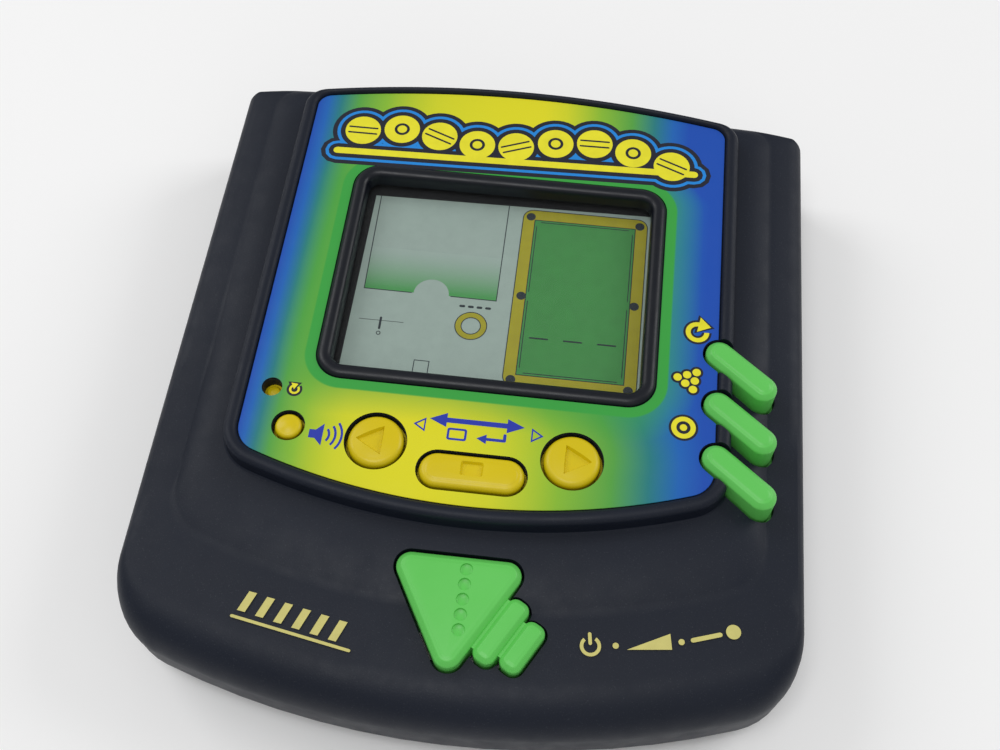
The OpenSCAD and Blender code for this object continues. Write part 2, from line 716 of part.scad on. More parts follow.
module pill_cap(p) color(green_color) at(p) {
    rotate(pill_angle) soft_stadium(pill_l, pill_w, cap_floor, pill_top, 1);
    translate([0, 0, cap_floor]) linear_extrude(pill_flange_t) pill_outline(pill_flange_w);
}

module new_game_button() pill_cap(pills_at[0]);

module rack_button() pill_cap(pills_at[1]);

module ball_button() pill_cap(pills_at[2]);

module shoot_button() {
    e = 0.9;
    web_z = shoot_top - 1.7;
    color(green_color) at(shoot_at) difference() {
        union() {
            loft(concat([level(shoot_floor, triangle_line(0))],
                [for (a = [0:22.5:90]) level(shoot_top - e + e * sin(a),
                    triangle_line(-e * (1 - cos(a))))]));
            for (i = [0, 1]) rib_place(i)
                soft_stadium(shoot_ribs[i], shoot_rib_w, shoot_floor, shoot_top - 0.4 - i * 0.3, e);
            // web between the ribs, and the flange under the deck
            translate([0, 0, shoot_floor]) linear_extrude(web_z - shoot_floor) shoot_hole(-0.05);
            translate([0, 0, shoot_floor]) linear_extrude(pill_flange_t) shoot_hole(shoot_flange_w);
        }
        for (i = [0:shoot_dimples - 1]) translate([1.3, -2.5 - i * 2.54, shoot_top - 0.4])
            cylinder(r = 1.1, h = 1);
    }
}

// ---------------------------------------------------------------- buzzer and power

module buzzer_disc() color(brass_color) at(buzzer_at, wall + buzzer_ledge)
    cylinder(r = buzzer_r, h = buzzer_t);

module buzzer_ceramic() color([0.85, 0.84, 0.78]) at(buzzer_at, wall + buzzer_ledge + buzzer_t)
    cylinder(r = buzzer_r - 4, h = ceramic_t);

module buzzer_leads() {
    b = [buzzer_at.x, buzzer_at.y, wall + buzzer_ledge + buzzer_t + ceramic_t + lead_r];
    end_z = board_z - board_t - 1.2 * lead_r;
    color([0.7, 0.1, 0.1])
        tube(soft([b + [4, 2, 0.1], b + [8, 4, 2], b + [12, 5, 5], [-8, -4, end_z]]), lead_r);
    color([0.1, 0.1, 0.1])
        tube(soft([b + [11.5, -4, 0.1], b + [13, -4, 3], b + [15, -2, 6], [-8, -9, end_z]]), lead_r);
}

// Cell whose positive end faces the end s of the box
module cell(y, s) color([0.75, 0.6, 0.3]) translate([s * (bay_l / 2 - contact_t - 0.3), y, cell_z])
    rotate([0, -90 * s, 0]) {
        translate([0, 0, nub_l]) cylinder(d = cell_d, h = cell_l - nub_l);
        cylinder(r = 1.9, h = nub_l + sliver);
    }

module battery_cell_a() cell(cells_y[0], -1);

module battery_cell_b() cell(cells_y[1], 1);

// Plate of a contact at the end s of the box, with its wiring tab through the box's roof
module contact_plate(y, s, tab) {
    x = s > 0 ? [bay_l / 2 - contact_t, bay_l / 2] : [-bay_l / 2, contact_t - bay_l / 2];
    bar(x, [y - contact_w / 2, y + contact_w / 2], [door_t + 0.6, bay_roof - 0.1]);
    if (tab) bar(x, [y - contact_tab / 2, y + contact_tab / 2], [bay_roof - 0.2, bay_roof + bay_wall + 1]);
}

module contact_spring(y, s) translate([s * (bay_l / 2 - contact_t + 0.1), y, cell_z]) scale([-s, 1, 1])
    tube(spring_points(spring_l - 0.5, 3.4, 2.2, 3), 0.35, 6);

module contact_slots() for (y = cells_y) bar([-bay_l / 2 - 0.1, -bay_l / 2 + contact_t + 0.2],
    [y - contact_tab / 2 - 0.3, y + contact_tab / 2 + 0.3], [bay_roof - 1, bay_roof + bay_wall + 1]);

module contact_bridge() {
    x = bay_l / 2;
    color(steel_color) {
        contact_plate(cells_y[0], 1, false);
        contact_plate(cells_y[1], 1, false);
        bar([x - contact_t, x], [cells_y[1], cells_y[0]], [cell_z - 1.5, cell_z + 1.5]);
        contact_spring(cells_y[0], 1);
    }
}

module contact_positive() color(steel_color) contact_plate(cells_y[0], -1, true);

module contact_negative() color(steel_color) {
    contact_plate(cells_y[1], -1, true);
    contact_spring(cells_y[1], -1);
}

// Wire from a contact's tab, round the end of the battery box and under the board to (x, y1)
module battery_lead(y, x, y1) {
    tab = [-bay_l / 2 - 0.3, y, bay_roof + bay_wall + 0.8];
    under = board_z - board_t;
    tube(soft([tab, tab - [2.7, 0, 0], tab - [4.7, 4, 2], [x, y1 + 6, under - 3],
        [x, y1, under - 1.2 * wire_r]]), wire_r);
}

module battery_lead_red() color([0.75, 0.1, 0.1]) battery_lead(cells_y[0], -33, board_back - 6);

module battery_lead_black() color([0.08, 0.08, 0.08]) battery_lead(cells_y[1], -30, board_back - 6);

// ---------------------------------------------------------------- fasteners

module screw(head_r, head_h, shank_r, l) difference() {
    union() {
        cylinder(r = head_r, h = head_h);
        translate([0, 0, head_h - sliver]) cylinder(r = shank_r, h = l);
    }
    for (a = [0, 90]) rotate(a) translate([0, 0, 0.4]) cube([head_r * 1.2, 0.7, 1], center = true);
}

module case_screws() color(steel_color) for (p = columns) at(p, counterbore_z - screw_head_h)
    screw(screw_head_r, screw_head_h, screw_r, column_meet - counterbore_z + screw_grip);

module board_screws() color(steel_color) for (p = board_posts) at(p, board_z - board_t - 1.3)
    screw(2, 1.3, board_screw_r, board_t + 4);

front_case();
rear_case();
battery_door();
faceplate();
screen_lens();
lcd_printed_film();
lcd_glass();
lcd_reflector();
lcd_holder();
zebra_strip();
circuit_board();
chip_blob();
crystal();
capacitor();
chip_resistors();
select_keypad();
side_keypad();
shoot_keypad();
carbon_pills();
left_button();
right_button();
enter_button();
sound_button();
reset_button();
new_game_button();
rack_button();
ball_button();
shoot_button();
buzzer_disc();
buzzer_ceramic();
buzzer_leads();
battery_cell_a();
battery_cell_b();
contact_bridge();
contact_positive();
contact_negative();
battery_lead_red();
battery_lead_black();
case_screws();
board_screws();
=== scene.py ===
"""Visible model of a handheld LCD game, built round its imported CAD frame."""
import logging
import math
from dataclasses import dataclass, field
from enum import Enum
from functools import cache
from typing import Callable, Iterable, Sequence

import bmesh
import bpy
from mathutils import Matrix, Vector


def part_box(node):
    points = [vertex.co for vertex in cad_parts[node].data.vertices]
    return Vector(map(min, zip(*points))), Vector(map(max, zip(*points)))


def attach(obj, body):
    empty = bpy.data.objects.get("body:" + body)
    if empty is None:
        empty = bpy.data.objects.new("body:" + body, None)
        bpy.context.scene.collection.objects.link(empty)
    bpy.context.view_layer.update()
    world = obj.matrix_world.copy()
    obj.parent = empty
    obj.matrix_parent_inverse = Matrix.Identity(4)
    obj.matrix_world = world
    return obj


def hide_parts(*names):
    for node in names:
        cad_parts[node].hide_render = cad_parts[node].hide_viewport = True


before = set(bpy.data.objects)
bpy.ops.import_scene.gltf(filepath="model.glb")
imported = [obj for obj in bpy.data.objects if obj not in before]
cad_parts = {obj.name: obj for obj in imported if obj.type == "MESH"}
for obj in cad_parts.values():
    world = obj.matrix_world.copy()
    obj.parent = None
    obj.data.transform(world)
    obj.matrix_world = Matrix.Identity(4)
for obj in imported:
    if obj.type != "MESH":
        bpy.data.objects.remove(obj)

LOG = logging.getLogger("lcd_game")
METRES = 0.001

Point = tuple[float, float]
Colour = tuple[float, float, float]
Ring = list[Vector]
Mesh = bmesh.types.BMesh
Socket = bpy.types.NodeSocket


# ---------------------------------------------------------------- measures


def low(node: str) -> Vector:
    """Lowest corner of a CAD node, in millimetres."""
    return Vector(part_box(node)[0]) / METRES


def high(node: str) -> Vector:
    """Highest corner of a CAD node, in millimetres."""
    return Vector(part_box(node)[1]) / METRES


def middle(node: str) -> Vector:
    """Centre of a CAD node's box, in millimetres."""
    return (low(node) + high(node)) / 2


def tint(red: int, green: int, blue: int) -> Colour:
    """Linear colour of a display colour given in steps of 0 to 255."""
    def channel(step: int) -> float:
        """One channel on the linear scale."""
        value = step / 255
        return value / 12.92 if value <= 0.04045 else ((value + 0.055) / 1.055) ** 2.4
    return channel(red), channel(green), channel(blue)


# ---------------------------------------------------------------- outlines


def arc(centre: Point, radius: float, start: float, end: float, steps: int, first: int = 1) -> list[Point]:
    """Points of an arc.

    Args:
        centre: centre of the arc.
        radius: its radius.
        start: first angle, in degrees.
        end: last angle, in degrees.
        steps: number of chords.
        first: 0 to include the arc's first point, 1 to leave it out.

    Returns:
        The points in order.
    """
    turns = [math.radians(start + (end - start) * i / steps) for i in range(first, steps + 1)]
    return [(centre[0] + radius * math.cos(a), centre[1] + radius * math.sin(a)) for a in turns]


@dataclass(frozen=True)
class Tub:
    """Outline with straight sides, a bowed front and a bowed back, as the case and its panel have."""

    half: float
    front: float
    front_bow: float
    front_corner: float
    back: float
    back_bow: float
    back_corner: float
    bow_steps: int = 36
    corner_steps: int = 10
    side_steps: int = 14

    def points(self) -> list[Point]:
        """The outline anticlockwise from above, always with the same number of points."""
        fc, bc = self.front_corner, self.back_corner
        fcy, bcy = self.front + self.front_bow, self.back - self.back_bow
        fy = fcy - math.sqrt((self.front_bow - fc) ** 2 - (self.half - fc) ** 2)
        by = bcy + math.sqrt((self.back_bow - bc) ** 2 - (self.half - bc) ** 2)
        fx, bx = self.half - fc, self.half - bc
        fa = math.degrees(math.atan2(fy - fcy, fx))
        ba = math.degrees(math.atan2(by - bcy, bx))
        side = [fy + (by - fy) * i / self.side_steps for i in range(1, self.side_steps + 1)]
        line = arc((0, fcy), self.front_bow, -180 - fa, fa, self.bow_steps)
        line += arc((fx, fy), fc, fa, 0, self.corner_steps)
        line += [(self.half, y) for y in side]
        line += arc((bx, by), bc, 0, ba, self.corner_steps)
        line += arc((0, bcy), self.back_bow, ba, 180 - ba, self.bow_steps)
        line += arc((-bx, by), bc, 180 - ba, 180, self.corner_steps)
        line += [(-self.half, y) for y in reversed([fy] + side[:-1])]
        line += arc((-fx, fy), fc, 180, 180 - fa, self.corner_steps)
        return line


def stadium(length: float, width: float, steps: int = 16) -> list[Point]:
    """Round-ended outline along X, length over all."""
    run = (length - width) / 2
    return arc((run, 0), width / 2, -90, 90, steps, 0) + arc((-run, 0), width / 2, 90, 270, steps, 0)


def rounded(width: float, depth: float, corner: float, steps: int = 8) -> list[Point]:
    """Rectangle with round corners, centred on the origin.

    Args:
        width: size along X.
        depth: size along Y.
        corner: corner radius.
        steps: chords to a corner.

    Returns:
        The points, anticlockwise.
    """
    x, y = width / 2 - corner, depth / 2 - corner
    corners = (((x, -y), -90), ((x, y), 0), ((-x, y), 90), ((-x, -y), 180))
    return [p for centre, turn in corners for p in arc(centre, corner, turn, turn + 90, steps, 0)]


def soft_triangle(side: float, corner: float, grow: float = 0, steps: int = 12) -> list[Point]:
    """Triangle that points to -Y, measured from the middle of its upper side, with round corners.

    Args:
        side: length of a side to its sharp corners.
        corner: corner radius.
        grow: how far every side moves outwards.
        steps: chords to a corner.

    Returns:
        The points, anticlockwise.
    """
    radius, x = corner + grow, side / 2 - corner * math.sqrt(3)
    tip = 2 * corner - side * math.sqrt(3) / 2
    return (arc((0, tip), radius, 210, 330, steps, 0) + arc((x, -corner), radius, -30, 90, steps, 0)
            + arc((-x, -corner), radius, 90, 210, steps, 0))


def place(points: Iterable[Point], at: Point = (0, 0), turn: float = 0) -> list[Point]:
    """The points turned by so many degrees about the origin, then moved."""
    c, s = math.cos(math.radians(turn)), math.sin(math.radians(turn))
    return [(at[0] + x * c - y * s, at[1] + x * s + y * c) for x, y in points]


def lift(points: Iterable[Point], z: float | Callable[[float], float]) -> Ring:
    """The outline as a ring at height z, which may be a function of y."""
    return [Vector((x, y, z(y) if callable(z) else z)) for x, y in points]


def between(a: Sequence[Point], b: Sequence[Point], share: float) -> list[Point]:
    """Outline part of the way from a to b."""
    return [(p[0] + (q[0] - p[0]) * share, p[1] + (q[1] - p[1]) * share) for p, q in zip(a, b)]


# ---------------------------------------------------------------- mesh making


def sweep(bm: Mesh, rings: Sequence[Ring]) -> tuple[list, list]:
    """Extrudes a loop of edges through the rings.

    Args:
        bm: mesh that the skin is added to.
        rings: rings of equal length.

    Returns:
        The first ring's vertices and the last ring's edges.
    """
    first = loop = [bm.verts.new(p) for p in rings[0]]
    edges = [bm.edges.new(pair) for pair in zip(loop, loop[1:] + loop[:1])]
    for ring in rings[1:]:
        grown = bmesh.ops.extrude_edge_only(bm, edges=edges)["geom"]
        fresh = {v for v in grown if isinstance(v, bmesh.types.BMVert)}
        loop = [next(e.other_vert(v) for e in v.link_edges if e.other_vert(v) in fresh) for v in loop]
        for vert, spot in zip(loop, ring):
            vert.co = spot
        edges = [bm.edges.get(pair) for pair in zip(loop, loop[1:] + loop[:1])]
    return first, edges


def solid(rings: Sequence[Ring]) -> Mesh:
    """New mesh with one solid that is capped at its first and last rings.

    Args:
        rings: rings of equal length, in order.

    Returns:
        The new mesh.
    """
    bm = bmesh.new()
    first, last = sweep(bm, rings)
    bm.faces.new(reversed(first))
    bmesh.ops.contextual_create(bm, geom=last)
    bmesh.ops.recalc_face_normals(bm, faces=bm.faces)
    return bm


def hoop(rings: Sequence[Ring]) -> Mesh:
    """New mesh with one closed band, whose last ring is joined to its first.

    Args:
        rings: rings of equal length, in order.

    Returns:
        The new mesh.
    """
    bm = bmesh.new()
    sweep(bm, [*rings, rings[0]])
    bmesh.ops.remove_doubles(bm, verts=bm.verts, dist=1e-5)
    bmesh.ops.recalc_face_normals(bm, faces=bm.faces)
    return bm


def prism(points: Sequence[Point], bottom: float, top: float) -> Mesh:
    """New mesh with a straight-sided solid between two heights."""
    return solid([lift(points, bottom), lift(points, top)])


def turned(profile: Sequence[Point], at: Point, steps: int = 72) -> Mesh:
    """Solid of revolution.

    Args:
        profile: radius and height of each point, from the axis and back to it.
        at: where the axis stands.
        steps: sectors of the full turn.

    Returns:
        The new mesh.
    """
    bm = bmesh.new()
    verts = [bm.verts.new((r, 0, z)) for r, z in profile]
    edges = [bm.edges.new(pair) for pair in zip(verts, verts[1:])]
    bmesh.ops.spin(bm, geom=verts + edges, cent=(0, 0, 0), axis=(0, 0, 1), angle=math.tau, steps=steps,
                   use_merge=True)
    bmesh.ops.remove_doubles(bm, verts=bm.verts, dist=1e-4)
    bmesh.ops.translate(bm, verts=bm.verts, vec=(at[0], at[1], 0))
    bmesh.ops.recalc_face_normals(bm, faces=bm.faces)
    return bm


def combine(base: Mesh, tools: Sequence[Mesh], how: str = "DIFFERENCE") -> Mesh:
    """Cuts or joins solids one after the other.

    Args:
        base: the solid that is changed.
        tools: the solids that cut it or join it; they are used up.
        how: DIFFERENCE or UNION.

    Returns:
        The finished mesh; base is used up.
    """
    objects = []
    for name, part in [("base", base)] + [("tool", t) for t in tools]:
        mesh = bpy.data.meshes.new(name)
        part.to_mesh(mesh)
        part.free()
        obj = bpy.data.objects.new(name, mesh)
        bpy.context.scene.collection.objects.link(obj)
        objects.append(obj)
    for tool in objects[1:]:
        cut = objects[0].modifiers.new("cut", "BOOLEAN")
        cut.operation = how
        cut.solver = "EXACT"
        cut.object = tool
    result = bmesh.new()
    result.from_object(objects[0], bpy.context.evaluated_depsgraph_get())
    for obj in objects:
        mesh = obj.data
        bpy.data.objects.remove(obj)
        bpy.data.meshes.remove(mesh)
    bmesh.ops.remove_doubles(result, verts=result.verts, dist=1e-4)
    return result


def fuse(parts: Sequence[Mesh]) -> Mesh:
    """All parts joined into one mesh without overlaps; the parts are used up."""
    return combine(parts[0], parts[1:], "UNION")


# ---------------------------------------------------------------- materials


class Nodes:
    """Short way to write a material's nodes."""

    def __init__(self, name: str) -> None:
        """Starts a material with its Principled shader."""
        self.material = bpy.data.materials.new(name)
        self.material.use_nodes = True
        self.tree = self.material.node_tree
        self.shader = self.tree.nodes["Principled BSDF"]
        self.coords = self.tree.nodes.new("ShaderNodeTexCoord").outputs["Object"]

    def add(self, kind: str, values: dict | None = None, **settings: object) -> bpy.types.Node:
        """Adds a node.

        Args:
            kind: node type without its ShaderNode prefix.
            values: what each input is set to or linked from, by name or place.
            settings: properties of the node itself.

        Returns:
            The node.
        """
        node = self.tree.nodes.new("ShaderNode" + kind)
        for key, value in settings.items():
            setattr(node, key, value)
        for key, value in (values or {}).items():
            if isinstance(value, Socket):
                self.tree.links.new(value, node.inputs[key])
            else:
                node.inputs[key].default_value = value
        return node

    def math(self, how: str, a: object, b: object = 0.0, clamp: bool = False) -> Socket:
        """Result of one Math node."""
        return self.add("Math", {0: a, 1: b}, operation=how, use_clamp=clamp).outputs[0]

    def axes(self) -> tuple[Socket, ...]:
        """Object X, Y and Z in millimetres."""
        parts = self.add("SeparateXYZ", {0: self.coords}).outputs
        return tuple(self.math("DIVIDE", part, METRES) for part in parts)

    def noise(self, scale_per_mm: float, detail: float = 2.0, roughness: float = 0.5) -> Socket:
        """Noise value with so many cells to the millimetre."""
        values = {"Vector": self.coords, "Scale": scale_per_mm / METRES, "Detail": detail,
                  "Roughness": roughness}
        return self.add("TexNoise", values).outputs[0]

    def span(self, value: object, a: float, b: float, low_end: float, high_end: float,
             smooth: bool = False) -> Socket:
        """Value moved from the range a to b into another range, and kept inside it."""
        node = self.add("MapRange", {0: value, 1: a, 2: b, 3: low_end, 4: high_end},
                        interpolation_type="SMOOTHSTEP" if smooth else "LINEAR")
        return node.outputs[0]

    def scaled(self, colour: object, share: object) -> Socket:
        """Colour made darker or lighter by a share."""
        return self.add("VectorMath", {0: colour, "Scale": share}, operation="SCALE").outputs[0]

    def blend(self, share: object, a: object, b: object) -> Socket:
        """Mix of two colours.

        Args:
            share: how much of the second colour.
            a: first colour.
            b: second colour.

        Returns:
            The mixed colour.
        """
        node = self.add("Mix", {0: share}, data_type="RGBA")
        for place_, value in ((6, a), (7, b)):
            if isinstance(value, Socket):
                self.tree.links.new(value, node.inputs[place_])
            else:
                node.inputs[place_].default_value = (*value, 1)
        return node.outputs[2]

    def ramp(self, value: object, stops: Sequence[tuple[float, Colour]]) -> Socket:
        """Colour ramp through the stops.

        Args:
            value: place along the ramp, 0 to 1.
            stops: place and colour of each stop, in order.

        Returns:
            The colour.
        """
        node = self.add("ValToRGB", {0: value})
        points = node.color_ramp.elements
        while len(points) < len(stops):
            points.new(0.5)
        for point, (where, colour) in zip(points, stops):
            point.position = where
            point.color = (*colour, 1)
        return node.outputs[0]

    def box_distance(self, x: object, y: object, half: Point, corner: float) -> Socket:
        """Distance outwards from a round-cornered rectangle centred on zero.

        Args:
            x: coordinate along the width.
            y: coordinate along the length.
            half: half the width and length.
            corner: corner radius.

        Returns:
            The distance, in millimetres.
        """
        beyond = [self.math("MAXIMUM", self.math("SUBTRACT", self.math("ABSOLUTE", axis), size - corner), 0.0)
                  for axis, size in ((x, half[0]), (y, half[1]))]
        squares = self.math("ADD", self.math("POWER", beyond[0], 2.0), self.math("POWER", beyond[1], 2.0))
        return self.math("SUBTRACT", self.math("SQRT", squares), corner)

    def bump(self, height: object, depth_mm: float, strength: float = 1.0, onto: object = None) -> Socket:
        """Bump of a real depth.

        Args:
            height: height pattern, 0 to 1.
            depth_mm: depth of the pattern, in millimetres.
            strength: how strongly it shows.
            onto: normal that it is laid over, if any.

        Returns:
            The normal.
        """
        values = {"Height": height, "Distance": depth_mm * METRES, "Strength": strength}
        if onto is not None:
            values["Normal"] = onto
        return self.add("Bump", values).outputs[0]

    def dress(self, **inputs: object) -> bpy.types.Material:
        """Sets or links the shader's inputs, by their names with underscores.

        Args:
            inputs: values or sockets.

        Returns:
            The finished material.
        """
        for key, value in inputs.items():
            socket = self.shader.inputs[key.replace("_", " ")]
            if isinstance(value, Socket):
                self.tree.links.new(value, socket)
            elif socket.type == "RGBA":
                socket.default_value = (*value[:3], 1)
            else:
                socket.default_value = value
        return self.material


@dataclass(frozen=True)
class Moulded:
    """Moulded plastic: base colour with faint clouding, a fine moulded grain and rubbed gloss."""

    name: str
    colour: Colour
    roughness: float = 0.4
    grain_per_mm: float = 5.0
    grain_depth: float = 0.006
    clouding: float = 0.06
    shine: float = 0.35
    fleck: float = 0.0

    def build(self) -> bpy.types.Material:
        """Makes the material."""
        n = Nodes(self.name)
        cloud = n.span(n.noise(0.06, 3.0), 0.3, 0.7, 1 - self.clouding, 1 + self.clouding)
        colour = n.scaled(self.colour, cloud)
        if self.fleck:
            spots = n.span(n.noise(4.5, 1.0, 0.4), 0.66, 0.74, 0.0, self.fleck)
            colour = n.blend(spots, colour, tint(120, 124, 130))
        grain = n.bump(n.noise(self.grain_per_mm, 2.0, 0.6), self.grain_depth)
        waves = n.bump(n.noise(0.12, 2.0), 0.02, 0.5, grain)
        rough = n.span(n.noise(0.25, 4.0, 0.6), 0.3, 0.7, self.roughness - 0.05, self.roughness + 0.06)
        return n.dress(Base_Color=colour, Roughness=rough, Normal=waves, Specular_IOR_Level=self.shine)


@dataclass(frozen=True)
class Ink:
    """Screen-printed ink: a flat colour with a slightly uneven film."""

    name: str
    colour: Colour
    roughness: float = 0.42
    spread: float = 0.05

    def build(self) -> bpy.types.Material:
        """Makes the material."""
        n = Nodes(self.name)
        cloud = n.span(n.noise(0.5, 3.0), 0.3, 0.7, 1 - self.spread, 1 + self.spread)
        colour = n.scaled(self.colour, cloud)
        rough = n.span(n.noise(1.5, 2.0), 0.3, 0.7, self.roughness - 0.04, self.roughness + 0.04)
        return n.dress(Base_Color=colour, Roughness=rough, Normal=n.bump(n.noise(6.0, 2.0), 0.002),
                       Specular_IOR_Level=0.3)


@dataclass(frozen=True)
class Metal:
    """Plated or rolled metal with faint brushing and dulled patches."""

    name: str
    colour: Colour
    roughness: float = 0.3

    def build(self) -> bpy.types.Material:
        """Makes the material."""
        n = Nodes(self.name)
        lines = n.add("Mapping", {"Vector": n.coords, "Scale": (1.0, 12.0, 12.0)}).outputs[0]
        brush = n.add("TexNoise", {"Vector": lines, "Scale": 900.0, "Detail": 3.0}).outputs[0]
        dull = n.span(n.noise(0.4, 4.0), 0.35, 0.7, self.roughness - 0.08, self.roughness + 0.14)
        colour = n.blend(n.span(brush, 0.3, 0.7, 0.0, 0.35), self.colour, tuple(c * 0.7 for c in self.colour))
        return n.dress(Base_Color=colour, Metallic=1.0, Roughness=dull, Normal=n.bump(brush, 0.004))


@dataclass(frozen=True)
class Rubber:
    """Silicone or sleeve rubber: dull, slightly dusty."""

    name: str
    colour: Colour
    roughness: float = 0.62

    def build(self) -> bpy.types.Material:
        """Makes the material."""
        n = Nodes(self.name)
        dust = n.span(n.noise(0.9, 5.0, 0.65), 0.5, 0.8, 0.0, 0.25)
        colour = n.blend(dust, self.colour, tuple(min(c * 1.6 + 0.02, 1.0) for c in self.colour))
        return n.dress(Base_Color=colour, Roughness=self.roughness, Normal=n.bump(n.noise(4.0, 2.0), 0.006),
                       Specular_IOR_Level=0.35)


@dataclass(frozen=True)
class ClearSheet:
    """Clear acrylic or glass with the faintest haze."""

    name: str
    colour: Colour
    opacity: float

    def build(self) -> bpy.types.Material:
        """Makes the material."""
        n = Nodes(self.name)
        haze = n.span(n.noise(0.3, 4.0), 0.4, 0.8, self.opacity, self.opacity * 1.5)
        return n.dress(Base_Color=self.colour, Roughness=0.06, Alpha=haze, IOR=1.49)


@dataclass(frozen=True)
class PrintedPlate:
    """The panel's printed colours: blue flanks that turn through green to yellow in the middle."""

    name: str
    half: Point
    window: tuple[Point, Point, float]
    border: float = 2.2

    def build(self) -> bpy.types.Material:
        """Makes the material."""
        n = Nodes(self.name)
        x, y, _ = n.axes()
        edge, ends = self.half
        below, above = n.span(y, -2.0, -18.0, 0.0, 1.0, True), n.span(y, 38.0, 46.0, 0.0, 1.0, True)
        drift = n.span(n.noise(0.03, 1.0), 0.3, 0.7, -1.0, 1.0)
        centre = n.math("ADD", n.span(y, -20.0, ends, -6.0, 4.0), drift)
        left = n.math("DIVIDE", n.math("SUBTRACT", centre, x), n.math("ADD", centre, edge), True)
        right = n.math("DIVIDE", n.math("SUBTRACT", x, centre), n.math("SUBTRACT", edge, centre), True)
        left = n.math("POWER", left, n.span(y, -20.0, ends, 2.8, 2.7))
        power = n.math("ADD", n.math("MULTIPLY", above, 0.3), 0.8)
        power = n.math("ADD", n.math("MULTIPLY", below, 0.5), power)
        gain = n.math("ADD", n.math("MULTIPLY", above, 0.22), 1.05)
        right = n.math("MULTIPLY", n.math("POWER", right, power), gain)
        share = n.math("MAXIMUM", left, right)
        stops = [(0.0, tint(222, 216, 34)), (0.14, tint(206, 210, 38)), (0.37, tint(136, 186, 52)),
                 (0.58, tint(86, 162, 68)), (0.74, tint(40, 124, 128)), (0.88, tint(30, 100, 180)),
                 (1.0, tint(26, 78, 176))]
        colour = n.ramp(share, stops)
        (cx, cy), half, corner = self.window
        away = n.box_distance(n.math("SUBTRACT", x, cx), n.math("SUBTRACT", y, cy), half, corner)
        crisp = n.span(away, self.border - 0.35, self.border + 0.35, 1.0, 0.0, True)
        band = n.math("MAXIMUM", crisp, n.span(away, self.border, self.border + 5.0, 0.5, 0.0))
        colour = n.blend(band, colour, tint(58, 160, 66))
        speck = n.span(n.noise(7.0, 1.0), 0.3, 0.7, 0.97, 1.03)
        colour = n.scaled(colour, speck)
        rough = n.span(n.noise(0.2, 4.0), 0.3, 0.7, 0.3, 0.4)
        # the cut edges of the plate are black
        upright = n.add("SeparateXYZ", {0: n.add("NewGeometry").outputs["True Normal"]}).outputs[2]
        colour = n.blend(n.span(upright, 0.3, 0.7, 0.0, 1.0), tint(12, 13, 16), colour)
        return n.dress(Base_Color=colour, Roughness=rough, Normal=n.bump(n.noise(3.0, 2.0), 0.003),
                       Specular_IOR_Level=0.35)


@dataclass(frozen=True)
class Fade:
    """Green ink that thins out upwards."""

    name: str
    solid_y: float
    clear_y: float
    colour: Colour
    ground: Colour

    def build(self) -> bpy.types.Material:
        """Makes the material."""
        n = Nodes(self.name)
        _, y, _ = n.axes()
        ragged = n.math("ADD", y, n.span(n.noise(3.0, 1.0), 0.3, 0.7, -0.2, 0.2))
        share = n.span(ragged, self.solid_y, self.clear_y, 1.0, 0.0)
        share = n.math("POWER", share, 1.3)
        return n.dress(Base_Color=n.blend(share, self.ground, self.colour), Roughness=0.4)


class Finish(Enum):
    """Every finish of the game that isn't made for one piece."""

    SHELL = Moulded("shell_plastic", tint(19, 25, 38), 0.5, 3.6, 0.02, 0.05, 0.26, 0.08)
    SHELL_GLOSS = Moulded("bead_plastic", tint(13, 17, 26), 0.36, 4.5, 0.008, 0.04, 0.34, 0.05)
    YELLOW = Moulded("yellow_plastic", tint(214, 191, 4), 0.38, 3.0, 0.006, 0.03, 0.4)
    GREEN = Moulded("green_plastic", tint(98, 200, 90), 0.38, 3.0, 0.006, 0.03, 0.4)
    BLACK = Moulded("black_frame_plastic", tint(16, 16, 18), 0.5, 4.0, 0.01, 0.05, 0.3, 0.2)
    LENS = ClearSheet("lens_acrylic", (0.3, 0.32, 0.32), 0.02)
    GLASS = ClearSheet("cell_glass", (0.62, 0.7, 0.66), 0.35)
    FILM = Ink("film_ground", tint(150, 168, 160), 0.6, 0.03)
    REFLECTOR = Ink("reflector_film", tint(170, 178, 170), 0.35, 0.06)
    ZEBRA = Rubber("striped_rubber", tint(60, 60, 62))
    BOARD = Ink("board_resist", tint(30, 96, 52), 0.3, 0.12)
    RESIN = Moulded("potting_resin", tint(18, 18, 19), 0.22, 2.0, 0.004)
    STEEL = Metal("plated_steel", tint(200, 200, 196), 0.3)
    SLEEVE = Moulded("shrink_sleeve", tint(26, 34, 92), 0.3, 2.0, 0.004)
    KEYPAD = Rubber("silicone_rubber", tint(160, 163, 160))
    CARBON = Rubber("conductive_rubber", tint(22, 22, 22))
    BRASS = Metal("rolled_brass", tint(212, 178, 92), 0.28)
    CERAMIC = Ink("silvered_ceramic", tint(206, 204, 196), 0.3, 0.05)
    WIRE_BLACK = Rubber("black_sleeve", tint(20, 20, 20), 0.4)
    WIRE_RED = Rubber("red_sleeve", tint(176, 24, 24), 0.4)
    CELL = Metal("cell_label", tint(196, 168, 104), 0.3)
    INK_DARK = Ink("dark_ink", tint(34, 36, 48))
    INK_BLUE = Ink("bright_blue_ink", tint(34, 134, 216))
    INK_NAVY = Ink("navy_ink", tint(42, 58, 168))
    INK_YELLOW = Ink("yellow_ink", tint(230, 222, 46))
    INK_GOLD = Ink("pale_gold_ink", tint(204, 196, 118))
    FELT = Ink("felt_ink", tint(62, 134, 68), 0.5, 0.05)
    RAIL = Ink("rail_ink", tint(156, 150, 36))
    SEGMENT = Ink("segment_ink", tint(38, 46, 52))
    # near-black ink for the painted shade round the display film's open area
    PAINTED_SHADE = Ink("painted_shade_ink", tint(14, 15, 18), 0.5)

    @cache
    def make(self) -> bpy.types.Material:
        """The finish's material, made once."""
        return self.value.build()


# ---------------------------------------------------------------- pieces


